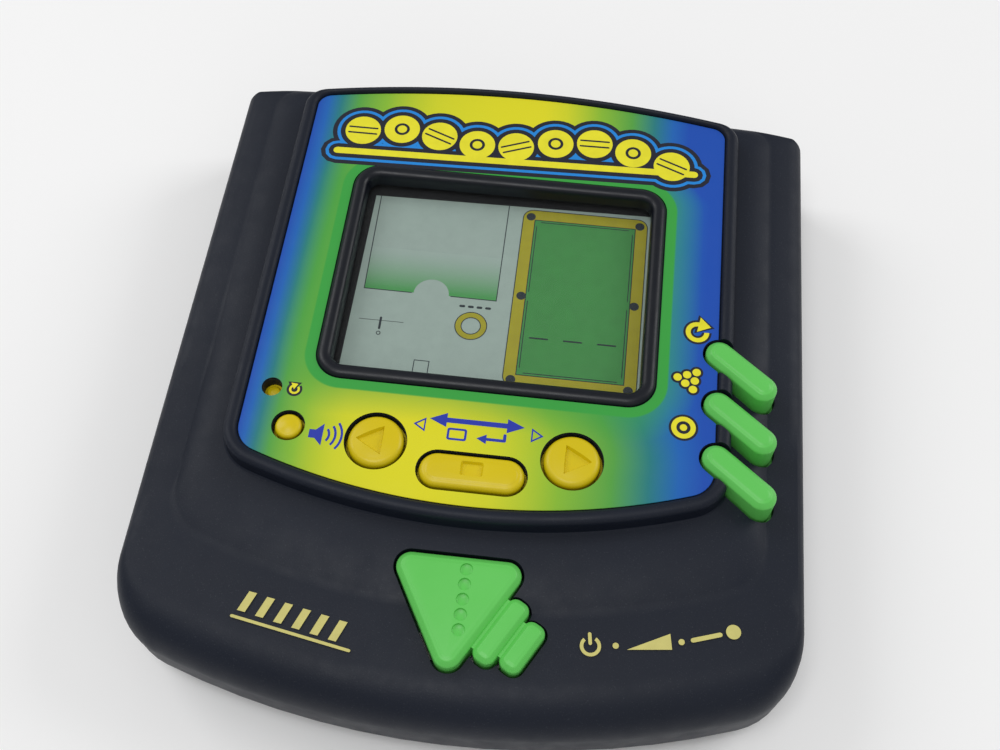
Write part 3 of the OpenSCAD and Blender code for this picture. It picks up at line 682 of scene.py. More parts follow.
def dress(obj: bpy.types.Object, material: bpy.types.Material) -> None:
    """Gives every slot of a piece one material.

    Args:
        obj: the piece.
        material: its material.
    """
    if not obj.data.materials:
        obj.data.materials.append(material)
    for i in range(len(obj.data.materials)):
        obj.data.materials[i] = material


def finish_piece(bm: Mesh, name: str, finish: Finish | bpy.types.Material, body: str = "root",
                 replaces: Sequence[str] = (), sharp: float = 38.0) -> bpy.types.Object:
    """Turns a mesh in millimetres into a piece of the game.

    Args:
        bm: the mesh, which is used up.
        name: the piece's name.
        finish: its finish, or a material of its own.
        body: the CAD body that it rides on.
        replaces: CAD nodes that it stands for.
        sharp: edges that turn by more degrees than this stay crisp.

    Returns:
        The piece.
    """
    bmesh.ops.scale(bm, vec=(METRES,) * 3, verts=bm.verts)
    limit = math.radians(sharp)
    for face in bm.faces:
        face.smooth = True
    for edge in bm.edges:
        edge.smooth = edge.is_manifold and edge.calc_face_angle(0.0) < limit
    mesh = bpy.data.meshes.new(name)
    bm.to_mesh(mesh)
    bm.free()
    obj = bpy.data.objects.new(name, mesh)
    bpy.context.scene.collection.objects.link(obj)
    dress(obj, finish.make() if isinstance(finish, Finish) else finish)
    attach(obj, body)
    if replaces:
        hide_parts(*replaces)
    LOG.info("%s: %d faces", name, len(mesh.polygons))
    return obj


def lay_ink(shapes: Sequence[Mesh], name: str, finish: Finish) -> None:
    """Joins ink shapes into one piece."""
    finish_piece(fuse(shapes), name, finish, sharp=25)


def smooth_copy(node: str, finish: Finish, body: str, sharp: float = 32.0) -> bpy.types.Object:
    """Merged and smoothly shaded copy of a CAD node, which it stands for.

    Args:
        node: the CAD node.
        finish: its finish.
        body: the body that it rides on.
        sharp: edges that turn by more degrees than this stay crisp.

    Returns:
        The piece.
    """
    bm = bmesh.new()
    bm.from_mesh(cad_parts[node].data)
    bmesh.ops.scale(bm, vec=(1 / METRES,) * 3, verts=bm.verts)
    bmesh.ops.remove_doubles(bm, verts=bm.verts, dist=2e-3)
    bmesh.ops.dissolve_limit(bm, angle_limit=math.radians(0.5), verts=bm.verts, edges=bm.edges)
    return finish_piece(bm, node + "_moulding", finish, body, (node,), sharp)


@dataclass
class Layout:
    """Places of the game's features, read from the frame, in millimetres."""

    case_low: Vector = field(default_factory=lambda: low("front_case"))
    case_high: Vector = field(default_factory=lambda: high("front_case"))
    plate_low: Vector = field(default_factory=lambda: low("faceplate"))
    plate_high: Vector = field(default_factory=lambda: high("faceplate"))
    lens_low: Vector = field(default_factory=lambda: low("screen_lens"))
    lens_high: Vector = field(default_factory=lambda: high("screen_lens"))
    rim: float = 2.7
    bead: float = 2.7
    lens_lip: float = 2.0
    plate_fit: float = 0.15
    cap_gap: float = 0.3
    seam: float = 13.0
    window_corner: float = 5.0
    front_bow: float = 150.0
    back_bow: float = 900.0
    front_corner: float = 13.0
    back_corner: float = 2.0
    plate_front_bow: float = 114.5
    plate_front_corner: float = 5.0
    plate_back_bow: float = 212.0
    plate_back_corner: float = 2.8
    crease_inset: float = 6.8
    crease_reach: float = 105.2
    crease_depth: float = 4.75
    rim_foot_depth: float = 3.0
    flange_drop: float = 2.2

    @property
    def plate_z(self) -> float:
        """Height of the printed plate's surface."""
        return self.plate_high.z

    @property
    def plate_top(self) -> float:
        """Y of the middle of the plate's upper edge."""
        return self.plate_high.y

    @property
    def flange_z(self) -> float:
        """Height of the upper face of the yellow caps' flanges."""
        return self.plate_low.z - self.flange_drop

    @property
    def window_half(self) -> Point:
        """Half the width and length of the window bead, outside."""
        grow = self.bead - self.lens_lip
        span = (self.lens_high - self.lens_low) / 2
        return span.x + grow, span.y + grow

    @property
    def window_middle(self) -> Point:
        """Centre of the window."""
        return 0.0, middle("screen_lens").y

    def case(self, side: float, front: float, back: float) -> list[Point]:
        """Case outline drawn in at the sides, front and back."""
        return Tub(self.case_high.x - side, self.case_low.y + front, self.front_bow - front,
                   max(self.front_corner - (side + front) / 2, 3), self.case_high.y - back,
                   self.back_bow - back, max(self.back_corner - side / 2, 1)).points()

    def plate(self, grow: float, back: float) -> list[Point]:
        """Plate outline grown at the sides and front, and by its own amount at the back."""
        return Tub(self.plate_high.x + grow, self.plate_low.y - grow, self.plate_front_bow + grow,
                   self.plate_front_corner + grow, self.plate_top + back, self.plate_back_bow + back,
                   self.plate_back_corner + back).points()

    def crease(self, grow: float) -> list[Point]:
        """Foot of the mound, drawn in."""
        return Tub(self.case_high.x - self.crease_inset - grow,
                   self.plate_top - self.crease_reach + grow * 1.4, self.front_bow - 20, 9,
                   self.case_high.y - 0.25 - grow * 0.02, self.back_bow, 4).points()


# ---------------------------------------------------------------- case


@dataclass
class Case:
    """Both shells and the battery door."""

    layout: Layout
    roll_top: float = 5.0
    roll_foot: float = 11.8
    roll_depth: float = 8.0
    roll_steps: int = 16
    wall: float = 2.2
    lip: float = 1.1
    roof: float = 2.0
    bead_height: float = 0.8
    bead_steps: int = 12

    def side_inset(self, depth: float) -> float:
        """How far the side wall leans in at a depth below the plate.

        Args:
            depth: depth, in millimetres.

        Returns:
            The lean, in millimetres.
        """
        stops = ((5.0, 1.5), (5.35, 1.0), (5.8, 0.6), (6.3, 0.33), (6.8, 0.15), (7.8, 0.0))
        for (d0, s0), (d1, s1) in zip(stops, stops[1:]):
            if depth <= d1:
                return s0 + (s1 - s0) * (depth - d0) / (d1 - d0)
        return 0.0

    def roll_inset(self, depth: float) -> float:
        """How far the front edge has rolled in at a depth below the plate."""
        rise = (self.roll_foot - depth) / (self.roll_foot - self.roll_top)
        return self.roll_depth * (1 - math.sqrt(max(1 - rise * rise, 0)))

    def deck_rings(self) -> list[Ring]:
        """Rings from the seam up the wall and over the deck to the rim's foot."""
        lay = self.layout
        span = self.roll_foot - self.roll_top
        depths = [self.roll_foot - span * math.sin(math.pi / 2 * i / self.roll_steps)
                  for i in range(self.roll_steps + 1)]
        rings = [lift(lay.case(0.12, 0.12, 0.12), lay.seam), lift(lay.case(0, 0, 0), lay.seam + 0.12)]
        for depth in depths:
            back = 0.2 * (self.roll_foot - depth) / self.roll_foot
            line = lay.case(self.side_inset(depth), self.roll_inset(depth), back)
            rings.append(lift(line, lay.plate_z - depth))
        edge = lay.case(1.5, self.roll_depth, 0.2 * span / self.roll_foot)
        foot, rim_foot = lay.crease(0), lay.plate(lay.rim + 0.4, 1.6)
        edge_z, rim_z = lay.plate_z - self.roll_top, lay.plate_z - lay.rim_foot_depth

        def crease_z(y: float) -> float:
            """Height of the mound's foot, which rises beside the screen to meet the plain deck."""
            share = min(max((y + 10) / 30, 0), 1)
            return lay.plate_z - lay.crease_depth + 0.6 * share * share * (3 - 2 * share)

        for share in (0.3, 0.65, 0.9):
            rings.append(lift(between(edge, foot, share),
                              lambda y, s=share: edge_z + (crease_z(y) - edge_z) * (1 - (1 - s) ** 1.5)))
        rings.append(lift(foot, crease_z))
        for share in (0.06, 0.16, 0.32, 0.52, 0.74, 0.9):
            rings.append(lift(between(foot, rim_foot, share),
                              lambda y, s=share: crease_z(y) + (rim_z - crease_z(y)) * (1 - (1 - s) ** 2.5)))
        rings.append(lift(rim_foot, rim_z + 0.03))
        return rings

    def rim_rings(self) -> list[Ring]:
        """Rings up the rim's wall, over its round top and down to the plate's pocket."""
        lay = self.layout
        outer, inner = lay.rim, lay.plate_fit
        mid, half = (outer + inner) / 2, (outer - inner) / 2
        back_outer = 1.5
        foot_z, top_z = lay.plate_z - 0.55, lay.plate_z + self.bead_height

        def ring(grow: float, z: float) -> Ring:
            """Plate outline grown, with less growth at its back edge."""
            back = inner + (grow - inner) * (back_outer - inner) / (outer - inner)
            return lift(lay.plate(grow, back), z)

        rings = [ring(outer + 0.12, lay.plate_z - 2.75), ring(outer + 0.03, lay.plate_z - 2.2),
                 ring(outer, foot_z)]
        for i in range(1, self.bead_steps):
            turn = math.pi * i / self.bead_steps
            rings.append(ring(mid + half * math.cos(turn), foot_z + (top_z - foot_z) * math.sin(turn) ** 0.8))
        return rings + [ring(inner, lay.plate_low.z)]

    def under_rings(self) -> list[Ring]:
        """Rings of the inside, from below the plate out and down to the seam."""
        lay = self.layout
        under = lay.plate_low.z - self.roof
        rings = [lift(lay.plate(-0.6, -1.2), under),
                 lift(lay.plate(-0.5, -1.1), lay.plate_z - lay.rim_foot_depth - self.roof),
                 lift(lay.crease(0.4 + self.wall * 0.4), lay.plate_z - lay.crease_depth - self.roof)]
        step = lay.seam + 1.35
        for i in range(6, 0, -1):
            depth = self.roll_foot - (self.roll_foot - self.roll_top) * math.sin(math.radians(15 * i))
            z = max(lay.plate_z - depth - self.roof, step + 0.3)
            inset = self.wall
            line = lay.case(self.side_inset(depth) + inset, self.roll_inset(depth) + inset, inset)
            rings.append(lift(line, z))
        wall, lip = lay.case(self.wall, self.wall, self.wall), lay.case(self.lip, self.lip, self.lip)
        return rings + [lift(wall, step), lift(lip, step), lift(lip, lay.seam)]

    def window_bead(self) -> Mesh:
        """Round-topped bead and wall round the window, open in the middle."""
        lay = self.layout
        width, length = (2 * h for h in lay.window_half)
        base, top = lay.plate_low.z - 1, lay.plate_z + self.bead_height
        mid = lay.bead / 2
        shoulder = lay.plate_z - 0.5

        def ring(inset: float, z: float) -> Ring:
            """Window outline drawn in."""
            line = rounded(width - 2 * inset, length - 2 * inset, lay.window_corner - inset, 12)
            return lift(place(line, lay.window_middle), z)

        rings = [ring(0, base), ring(0, shoulder)]
        for i in range(1, self.bead_steps + 1):
            turn = math.pi * i / self.bead_steps
            z = shoulder + (top - shoulder) * math.sin(turn) ** 0.75
            rings.append(ring(mid - mid * math.cos(turn), z))
        bottom = lay.lens_high.z + 0.02
        rings += [ring(lay.bead, bottom), ring(0.4, bottom)]
        return hoop(rings)

    def build(self, keys: "Keys") -> None:
        """Builds the front shell with its openings, then the rear shell and the door.

        Args:
            keys: the keys, whose holes are cut.
        """
        lay = self.layout
        shell = solid(self.under_rings() + self.deck_rings() + self.rim_rings())
        width, length = (2 * half - lay.bead for half in lay.window_half)
        inner = place(rounded(width, length, lay.window_corner - lay.bead / 2, 12), lay.window_middle)
        floor, roof = lay.seam + 2, lay.plate_z + 4
        cutters = [prism(inner, floor, roof)] + [prism(line, floor, roof) for line in keys.hole_outlines()]
        shell = combine(shell, cutters)
        finish_piece(shell, "front_shell", Finish.SHELL, replaces=("front_case",), sharp=30)
        finish_piece(self.window_bead(), "window_bead", Finish.SHELL_GLOSS, sharp=50)
        smooth_copy("rear_case", Finish.SHELL, "root")
        smooth_copy("battery_door", Finish.SHELL, "door")


# ---------------------------------------------------------------- keys


@dataclass
class Keys:
    """All nine caps and the holes that they work in."""

    layout: Layout
    round_d: float = 10.0
    enter_size: Point = (18.2, 6.6)
    sound_d: float = 5.0
    reset_d: float = 2.8
    pill_size: Point = (15.0, 5.3)
    pill_turn: float = -38.7
    shoot_side: float = 24.8
    shoot_corner: float = 2.6
    rib_width: float = 4.2
    rib_lengths: tuple[float, float] = (12.3, 9.4)
    flange: float = 0.9
    slack: float = 0.16
    round_edge: tuple[Point, ...] = tuple((1 - math.cos(math.radians(a)), math.sin(math.radians(a)) - 1)
                                          for a in range(0, 91, 10))
    cut_edge: tuple[Point, ...] = ((0, -1), (0.02, -0.82), (0.1, -0.68), (0.2, -0.56), (0.66, -0.14),
                                   (0.78, -0.05), (0.94, -0.01), (1.1, 0))
    dimples: int = 5
    dimple_pitch: float = 2.54
    dimple_shape: tuple[Point, ...] = ((0.78, -0.5), (0.98, -0.4), (1.14, 0.3))

    @property
    def shoot_at(self) -> Point:
        """Middle of the upper side of the shoot cap's triangle."""
        return 0.1, high("shoot_button").y - 0.7

    def beside_triangle(self, line: Sequence[Point]) -> list[Point]:
        """Outline drawn outwards from the middle of the triangle's right side, put in its place."""
        edge = (self.shoot_side / 4, -self.shoot_side * math.sqrt(3) / 4)
        return place(line, (self.shoot_at[0] + edge[0], self.shoot_at[1] + edge[1]), -30)

    def rib_outline(self, number: int, grow: float) -> list[Point]:
        """Outline of a rib of the shoot cap, counted outwards."""
        line = rounded(self.rib_width + 2 * grow, self.rib_lengths[number] + 2 * grow, max(1.7 + grow, 0.1))
        return self.beside_triangle(place(line, ((number + 0.5) * self.rib_width, 0)))

    def web_outline(self, number: int, grow: float) -> list[Point]:
        """Outline of the web that joins a rib to the piece before it."""
        line = rounded(self.rib_width, self.rib_lengths[number] - 2.2 + 2 * grow, 0.5, 4)
        return self.beside_triangle(place(line, (number * self.rib_width - 0.2, 0)))

    def hole_outlines(self, grow: float | None = None) -> list[list[Point]]:
        """Outlines of every key hole.

        Args:
            grow: gap round each cap; leaves out the shoot key's hole when it is given.

        Returns:
            The outlines.
        """
        gap = self.layout.cap_gap if grow is None else grow
        holes = [place(arc((0, 0), self.round_d / 2 + gap, 0, 360, 64), middle(n).xy)
                 for n in ("left_button", "right_button")]
        holes.append(place(arc((0, 0), self.sound_d / 2 + gap, 0, 360, 40), middle("sound_button").xy))
        holes.append(place(arc((0, 0), self.reset_d / 2 + gap, 0, 360, 32), middle("reset_button").xy))
        holes.append(place(stadium(self.enter_size[0] + 2 * gap, self.enter_size[1] + 2 * gap),
                           middle("enter_button").xy))
        for name in ("new_game_button", "rack_button", "ball_button"):
            line = stadium(self.pill_size[0] + 2 * gap, self.pill_size[1] + 2 * gap)
            holes.append(place(line, middle(name).xy, self.pill_turn))
        if grow is None:
            holes.append(place(soft_triangle(self.shoot_side, self.shoot_corner, gap), self.shoot_at))
            holes += [outline(i, gap) for i in (0, 1) for outline in (self.rib_outline, self.web_outline)]
        return holes

    def engraver(self, outline: Sequence[Point], at: Point, floor: float) -> Mesh:
        """Cutter with sloping walls for a sunk sign."""
        local = [(x - at[0], y - at[1]) for x, y in outline]
        wide = place([(x * 1.5, y * 1.5) for x, y in local], at)
        return solid([lift(outline, floor), lift(wide, floor + 1.5)])

    def round_cap(self, node: str, body: str, diameter: float, edge: float, dome: float,
                  engraving: Sequence[Point] = ()) -> None:
        """A round cap with a domed top, a soft edge, a flange and a stem.

        Args:
            node: the CAD node that it stands for.
            body: the body that it rides on.
            diameter: the cap's diameter.
            edge: radius of its upper edge.
            dome: how far the middle stands above the edge.
            engraving: outline cut into its top, if any.
        """
        low_, high_ = low(node), high(node)
        at, top, radius = middle(node).xy, high_.z, diameter / 2 - self.slack
        flange_r = (high_.x - low_.x) / 2
        flange_z = self.layout.flange_z
        profile = [(0, low_.z), (flange_r * 0.4, low_.z), (flange_r * 0.4, flange_z - self.flange),
                   (flange_r, flange_z - self.flange), (flange_r, flange_z), (radius, flange_z)]
        shoulder = top - dome
        profile += [(radius - edge * inset, shoulder + edge * rise) for inset, rise in self.round_edge]
        flat = radius - edge
        profile += [(flat * (1 - i / 8), shoulder + dome * (1 - (1 - i / 8) ** 2)) for i in range(1, 9)]
        bm = turned(profile, at)
        if engraving:
            bm = combine(bm, [self.engraver(engraving, at, top - dome - 0.4)])
        finish_piece(bm, node.replace("_button", "_cap"), Finish.YELLOW, body, (node,), 34)

    def slab(self, outline: Callable[[float], list[Point]], bottom: float, top: float, edge: float,
             crown: float, profile: Sequence[Point]) -> list[Ring]:
        """Rings of a cap with a soft or cut upper edge and a slightly crowned top.

        Args:
            outline: gives the cap's outline drawn in by so much.
            bottom: lowest height.
            top: height of the crown.
            edge: size of the upper edge.
            crown: how far the middle stands above the edge.
            profile: the edge's shape, as inset and height in units of its size.

        Returns:
            The rings, lowest first.
        """
        shoulder = top - crown
        rings = [lift(outline(0), bottom)]
        rings += [lift(outline(edge * inset), shoulder + edge * rise) for inset, rise in profile]
        start = profile[-1][0] * edge
        for share in (0.25, 0.5, 0.75):
            rings.append(lift(outline(start + share * edge / 2), shoulder + crown * (1 - (1 - share) ** 2)))
        return rings

    def long_cap(self, node: str, body: str, size: Point, turn: float, edge: float, finish: Finish,
                 engraving: Sequence[Point] = ()) -> None:
        """A round-ended cap with its flange.

        Args:
            node: the CAD node that it stands for.
            body: the body that it rides on.
            size: length and width.
            turn: angle to X, in degrees.
            edge: radius of its upper edge.
            finish: its finish.
            engraving: outline cut into its top, if any.
        """
        at, base, top = middle(node).xy, low(node).z, high(node).z

        def outline(inset: float) -> list[Point]:
            """The cap's outline drawn in."""
            drawn = inset + (self.slack if inset >= 0 else 0)
            return place(stadium(size[0] - 2 * drawn, size[1] - 2 * drawn), at, turn)

        flange_z = base if turn else self.layout.flange_z - self.flange
        flange_t = 0.6 if turn else self.flange
        parts = [prism(outline(-0.6), flange_z, flange_z + flange_t)]
        if not turn:
            parts.append(prism(place(arc((0, 0), 2, 0, 360, 24), at), base, flange_z + 0.1))
        start = flange_z + flange_t - 0.01 if not turn else base + 0.01
        profile = self.cut_edge if turn else self.round_edge
        bm = combine(solid(self.slab(outline, start, top, edge, 0.15, profile)), parts, "UNION")
        if engraving:
            bm = combine(bm, [self.engraver(engraving, at, top - 0.6)])
        finish_piece(bm, node.replace("_button", "_cap"), finish, body, (node,), 34)

    def shoot_cap(self) -> None:
        """The triangular cap with two ribs and five dimples."""
        base, top, at = low("shoot_button").z, high("shoot_button").z, self.shoot_at

        def triangle(inset: float) -> list[Point]:
            """The triangle drawn in."""
            return place(soft_triangle(self.shoot_side, self.shoot_corner, -inset - self.slack), at)

        bm = solid(self.slab(triangle, base, top, 1.1, 0.1, self.cut_edge))
        ribs = [solid(self.slab(lambda inset, i=i: self.rib_outline(i, -inset - self.slack), base,
                                top - 0.35 - i * 0.3, 1.0, 0.08, self.cut_edge)) for i in (0, 1)]
        webs = [prism(self.web_outline(i, -self.slack), base, top - 1.05 - i * 0.3) for i in (0, 1)]
        bm = combine(bm, ribs + webs, "UNION")
        dents = []
        for i in range(self.dimples):
            spot = (at[0] + 1.3, at[1] - 2.5 - self.dimple_pitch * i)
            dents.append(solid([lift(arc(spot, radius, 0, 360, 28), top + rise)
                                for radius, rise in self.dimple_shape]))
        finish_piece(combine(bm, dents), "shoot_cap", Finish.GREEN, "shoot_key",
                     ("shoot_button",), 34)

    def build(self) -> None:
        """Builds every cap."""
        for name, turn in (("left", 180), ("right", 0)):
            arrow = arc((0.3, 0), 2.65, 0, 360, 3)
            arrow = place(arrow, middle(name + "_button").xy, turn)
            self.round_cap(name + "_button", name + "_key", self.round_d, 1.2, 0.35, arrow)
        self.round_cap("sound_button", "sound_key", self.sound_d, 0.8, 0.3)
        self.round_cap("reset_button", "reset_key", self.reset_d, 0.5, 0.1)
        square = place(rounded(3.2, 2.2, 0.3, 3), (middle("enter_button").x, middle("enter_button").y + 0.4))
        self.long_cap("enter_button", "enter_key", self.enter_size, 0, 1.1, Finish.YELLOW,
                      square)
        for name in ("new_game", "rack", "ball"):
            self.long_cap(name + "_button", name + "_key", self.pill_size, self.pill_turn, 1.1, Finish.GREEN)
        self.shoot_cap()


# ---------------------------------------------------------------- printing


class Glyph(Enum):
    """Small generic signs printed beside the keys."""

    RESTART = "circular arrow"
    RACK = "triangle of balls"
    BALL = "single ball"
    POWER = "power sign"


@dataclass
class Printer:
    """Lays flat ink shapes on a surface, one thin layer over the other."""

    base_z: float
    film: float = 0.012

    def layer(self, number: int) -> tuple[float, float]:
        """Bottom and top of an ink layer."""
        return self.base_z - self.film, self.base_z + self.film * number

    def shape(self, points: Sequence[Point], number: int = 1) -> Mesh:
        """Filled shape."""
        return prism(points, *self.layer(number))

    def band(self, outer: Sequence[Point], inner: Sequence[Point], number: int = 1) -> Mesh:
        """Shape between two outlines of equal length."""
        bottom, top = self.layer(number)
        return hoop([lift(outer, bottom), lift(outer, top), lift(inner, top), lift(inner, bottom)])

    def disc(self, at: Point, radius: float, number: int = 1) -> Mesh:
        """Filled disc."""
        return self.shape(arc(at, radius, 0, 360, 36), number)

    def ring(self, at: Point, radius: float, width: float, number: int = 1) -> Mesh:
        """Ring of ink."""
        return self.band(arc(at, radius, 0, 360, 48), arc(at, radius - width, 0, 360, 48), number)

    def line(self, a: Point, b: Point, width: float, number: int = 1) -> Mesh:
        """Straight line with round ends.

        Args:
            a: one end.
            b: the other end.
            width: its width.
            number: ink layer.

        Returns:
            The shape.
        """
        length = math.hypot(b[0] - a[0], b[1] - a[1]) + width
        turn = math.degrees(math.atan2(b[1] - a[1], b[0] - a[0]))
        centre = ((a[0] + b[0]) / 2, (a[1] + b[1]) / 2)
        return self.shape(place(stadium(length, width, 6), centre, turn), number)

    def bow(self, at: Point, radius: float, width: float, start: float, end: float,
            number: int = 1) -> Mesh:
        """Stretch of a ring.

        Args:
            at: centre of the ring.
            radius: its outer radius.
            width: its width.
            start: first angle, in degrees.
            end: last angle, in degrees.
            number: ink layer.

        Returns:
            The shape.
        """
        steps = max(int(abs(end - start) / 10), 6)
        outer = arc(at, radius, start, end, steps, 0)
        return self.shape(outer + arc(at, radius - width, end, start, steps, 0), number)


def glyph_parts(printer: Printer, sign: Glyph, at: Point, size: float, turn: float, grow: float,
                number: int) -> list[Mesh]:
    """Shapes of one sign.

    Args:
        printer: the surface's printer.
        sign: which sign.
        at: its centre.
        size: its half height.
        turn: its angle, in degrees.
        grow: how much fatter than plain, for an outline beneath.
        number: ink layer.

    Returns:
        The shapes.
    """
    stroke = size * 0.42 + 2 * grow
    if sign is Glyph.RESTART:
        foot, wing = -0.1 - grow, 0.75 * size + grow
        head = place([(foot, wing), (foot, -wing), (size + grow * 1.6, 0)], (0, size * 0.78), 0)
        return [printer.bow(at, size + grow, stroke, 120 + turn, 400 + turn, number),
                printer.shape(place(head, at, 28 + turn), number)]
    if sign is Glyph.RACK:
        spots = [(0, 0.95), (-0.55, 0), (0.55, 0), (-1.1, -0.95), (0, -0.95), (1.1, -0.95)]
        return [printer.disc(place([(x * size, y * size)], at, turn)[0], size * 0.46 + grow, number)
                for x, y in spots]
    if sign is Glyph.BALL:
        return [printer.ring(at, size + grow, stroke, number),
                printer.disc(at, size * 0.3 + grow * 0.5, number)]
    gap = 38.0
    return [printer.bow(at, size + grow, stroke * 0.8, 90 + gap + turn, 450 - gap + turn, number),
            printer.line(place([(0, size * 0.25)], at, turn)[0], place([(0, size * 1.15)], at, turn)[0],
                         stroke * 0.8, number)]


@dataclass
class PlatePrint:
    """The printed plate and every sign on it."""

    layout: Layout
    ball_radius: float = 3.75
    balls: int = 9
    banner_half: float = 30.5
    banner_drop: float = 12.9
    window_gap: float = 0.15
    fade_reach: Point = (40.6, 50.0)

    def plate(self, keys: Keys) -> None:
        """The printed plate with its openings.

        Args:
            keys: the keys, whose holes are cut.
        """
        lay = self.layout
        bottom, top = lay.plate_low.z, lay.plate_z
        bm = solid([lift(lay.plate(0, 0), bottom), lift(lay.plate(0, 0), top - 0.06),
                    lift(lay.plate(-0.06, -0.06), top)])
        half = lay.window_half
        gap = self.window_gap
        opening = rounded(2 * half[0] + 2 * gap, 2 * half[1] + 2 * gap, lay.window_corner + gap, 12)
        outlines = [place(opening, lay.window_middle)] + keys.hole_outlines(lay.cap_gap + 0.1)
        cutters = [prism(line, bottom - 1, top + 1) for line in outlines]
        material = PrintedPlate("printed_plate_ink", self.fade_reach,
                                (lay.window_middle, half, lay.window_corner)).build()
        finish_piece(combine(bm, cutters), "printed_plate", material,
                     replaces=("faceplate",), sharp=25)

    def banner(self, printer: Printer) -> None:
        """A generic title sign: a row of plain balls on a cue, in yellow with dark and blue outlines.

        Args:
            printer: the plate's printer.
        """
        left, right = -self.banner_half, self.banner_half
        base = self.layout.plate_top - self.banner_drop
        spots = []
        for i in range(self.balls):
            share = i / (self.balls - 1)
            spots.append((left + (right - left) * share, base + 1.7 * math.sin(share * math.tau * 1.5 + 0.7)
                          + 1.6 * math.sin(share * math.pi)))
        cue = ((left - 4.2, base - 4.4), (right + 4.4, base - 2.6))
        for name, finish, grow, number in (("banner_shadow", Finish.INK_DARK, 2.5, 1),
                                           ("banner_glow", Finish.INK_BLUE, 1.6, 2),
                                           ("banner_edge", Finish.INK_DARK, 0.95, 3),
                                           ("banner_balls", Finish.INK_YELLOW, 0.0, 4)):
            shapes = [printer.disc(at, self.ball_radius - 0.25 + grow, number) for at in spots]
            shapes.append(printer.line(*cue, 1.5 + 2 * grow, number))
            lay_ink(shapes, name, finish)
        marks = []
        for i, at in enumerate(spots):
            turn = 25 * math.sin(i * 2.1)
            if i % 2:
                marks.append(printer.ring(at, 1.5, 0.55, 5))
            else:
                ends = place([(-self.ball_radius + 1.0, -0.7), (self.ball_radius - 1.0, -0.7)], at, turn)
                tops = place([(-self.ball_radius + 1.0, 0.7), (self.ball_radius - 1.0, 0.7)], at, turn)
                marks += [printer.line(ends[0], ends[1], 0.38, 5), printer.line(tops[0], tops[1], 0.38, 5)]
        lay_ink(marks, "banner_marks", Finish.INK_DARK)

    def signs(self, printer: Printer) -> None:
        """Signs beside the keys.

        Args:
            printer: the plate's printer.
        """
        navy, gold, dark = [], [], []
        # sound: a small loudspeaker with two waves
        sx, sy = middle("sound_button").x + 4.9, middle("sound_button").y - 1.1
        horn = [(-1.1, -0.8), (0, -0.8), (1.3, -2.1), (1.3, 2.1), (0, 0.8), (-1.1, 0.8)]
        navy.append(printer.shape([(sx + x, sy + y) for x, y in horn]))
        navy += [printer.bow((sx + 0.6, sy), 2.0 + 1.1 * i, 0.42, -38, 38) for i in range(3)]
        # select: two outlined arrowheads with a double-ended arrow between them
        pitch_y = middle("left_button").y
        row_a, row_b = pitch_y + 5.3, pitch_y + 2.75
        navy += [printer.line((-6.2, row_a), (6.2, row_a), 0.95)]
        for side in (-1, 1):
            head = [(side * 8.2, row_a), (side * 5.2, row_a + 1.35), (side * 5.2, row_a - 1.35)]
            navy.append(printer.shape(head[::side]))
        # enter: an outlined square with a tick-like return arrow
        navy.append(printer.band(place(rounded(3.4, 2.3, 0.4, 3), (-3.2, row_b)),
                                 place(rounded(2.6, 1.5, 0.15, 3), (-3.2, row_b))))
        navy += [printer.line((5.0, row_b + 0.7), (5.0, row_b - 0.35), 0.55),
                 printer.line((5.0, row_b - 0.35), (1.6, row_b - 0.35), 0.55),
                 printer.shape([(0.2, row_b - 0.35), (1.9, row_b - 1.25), (1.9, row_b + 0.55)])]
        for side, x in ((-1, -9.6), (1, 10.3)):
            row = (row_a + row_b) / 2
            outer = [(x + side * 1.25, row), (x - side * 0.85, row + 1.35), (x - side * 0.85, row - 1.35)]
            inner = [(x + side * 0.7, row), (x - side * 0.6, row + 0.85), (x - side * 0.6, row - 0.85)]
            navy.append(printer.band(outer[::-side], inner[::-side]))
        lay_ink(navy, "blue_signs", Finish.INK_NAVY)
        # reset and the three side keys: yellow signs on dark outlines
        spots = [(Glyph.RESTART, (middle("reset_button").x + 4.0, middle("reset_button").y - 0.1), 0.95, 0.0),
                 (Glyph.RESTART, (36.8, 9.9), 2.1, -38.7), (Glyph.RACK, (36.0, 0.4), 1.6, -38.7),
                 (Glyph.BALL, (35.1, -9.5), 2.1, -38.7)]
        for sign, at, size, turn in spots:
            dark += glyph_parts(printer, sign, at, size, turn, 0.42, 1)
            gold += glyph_parts(printer, sign, at, size, turn, 0.0, 2)
        lay_ink(dark, "sign_outlines", Finish.INK_DARK)
        lay_ink(gold, "yellow_signs", Finish.INK_YELLOW)

    def build(self, keys: Keys) -> None:
        """Builds the plate and its print."""
        self.plate(keys)
        printer = Printer(self.layout.plate_z)
        self.banner(printer)
        self.signs(printer)


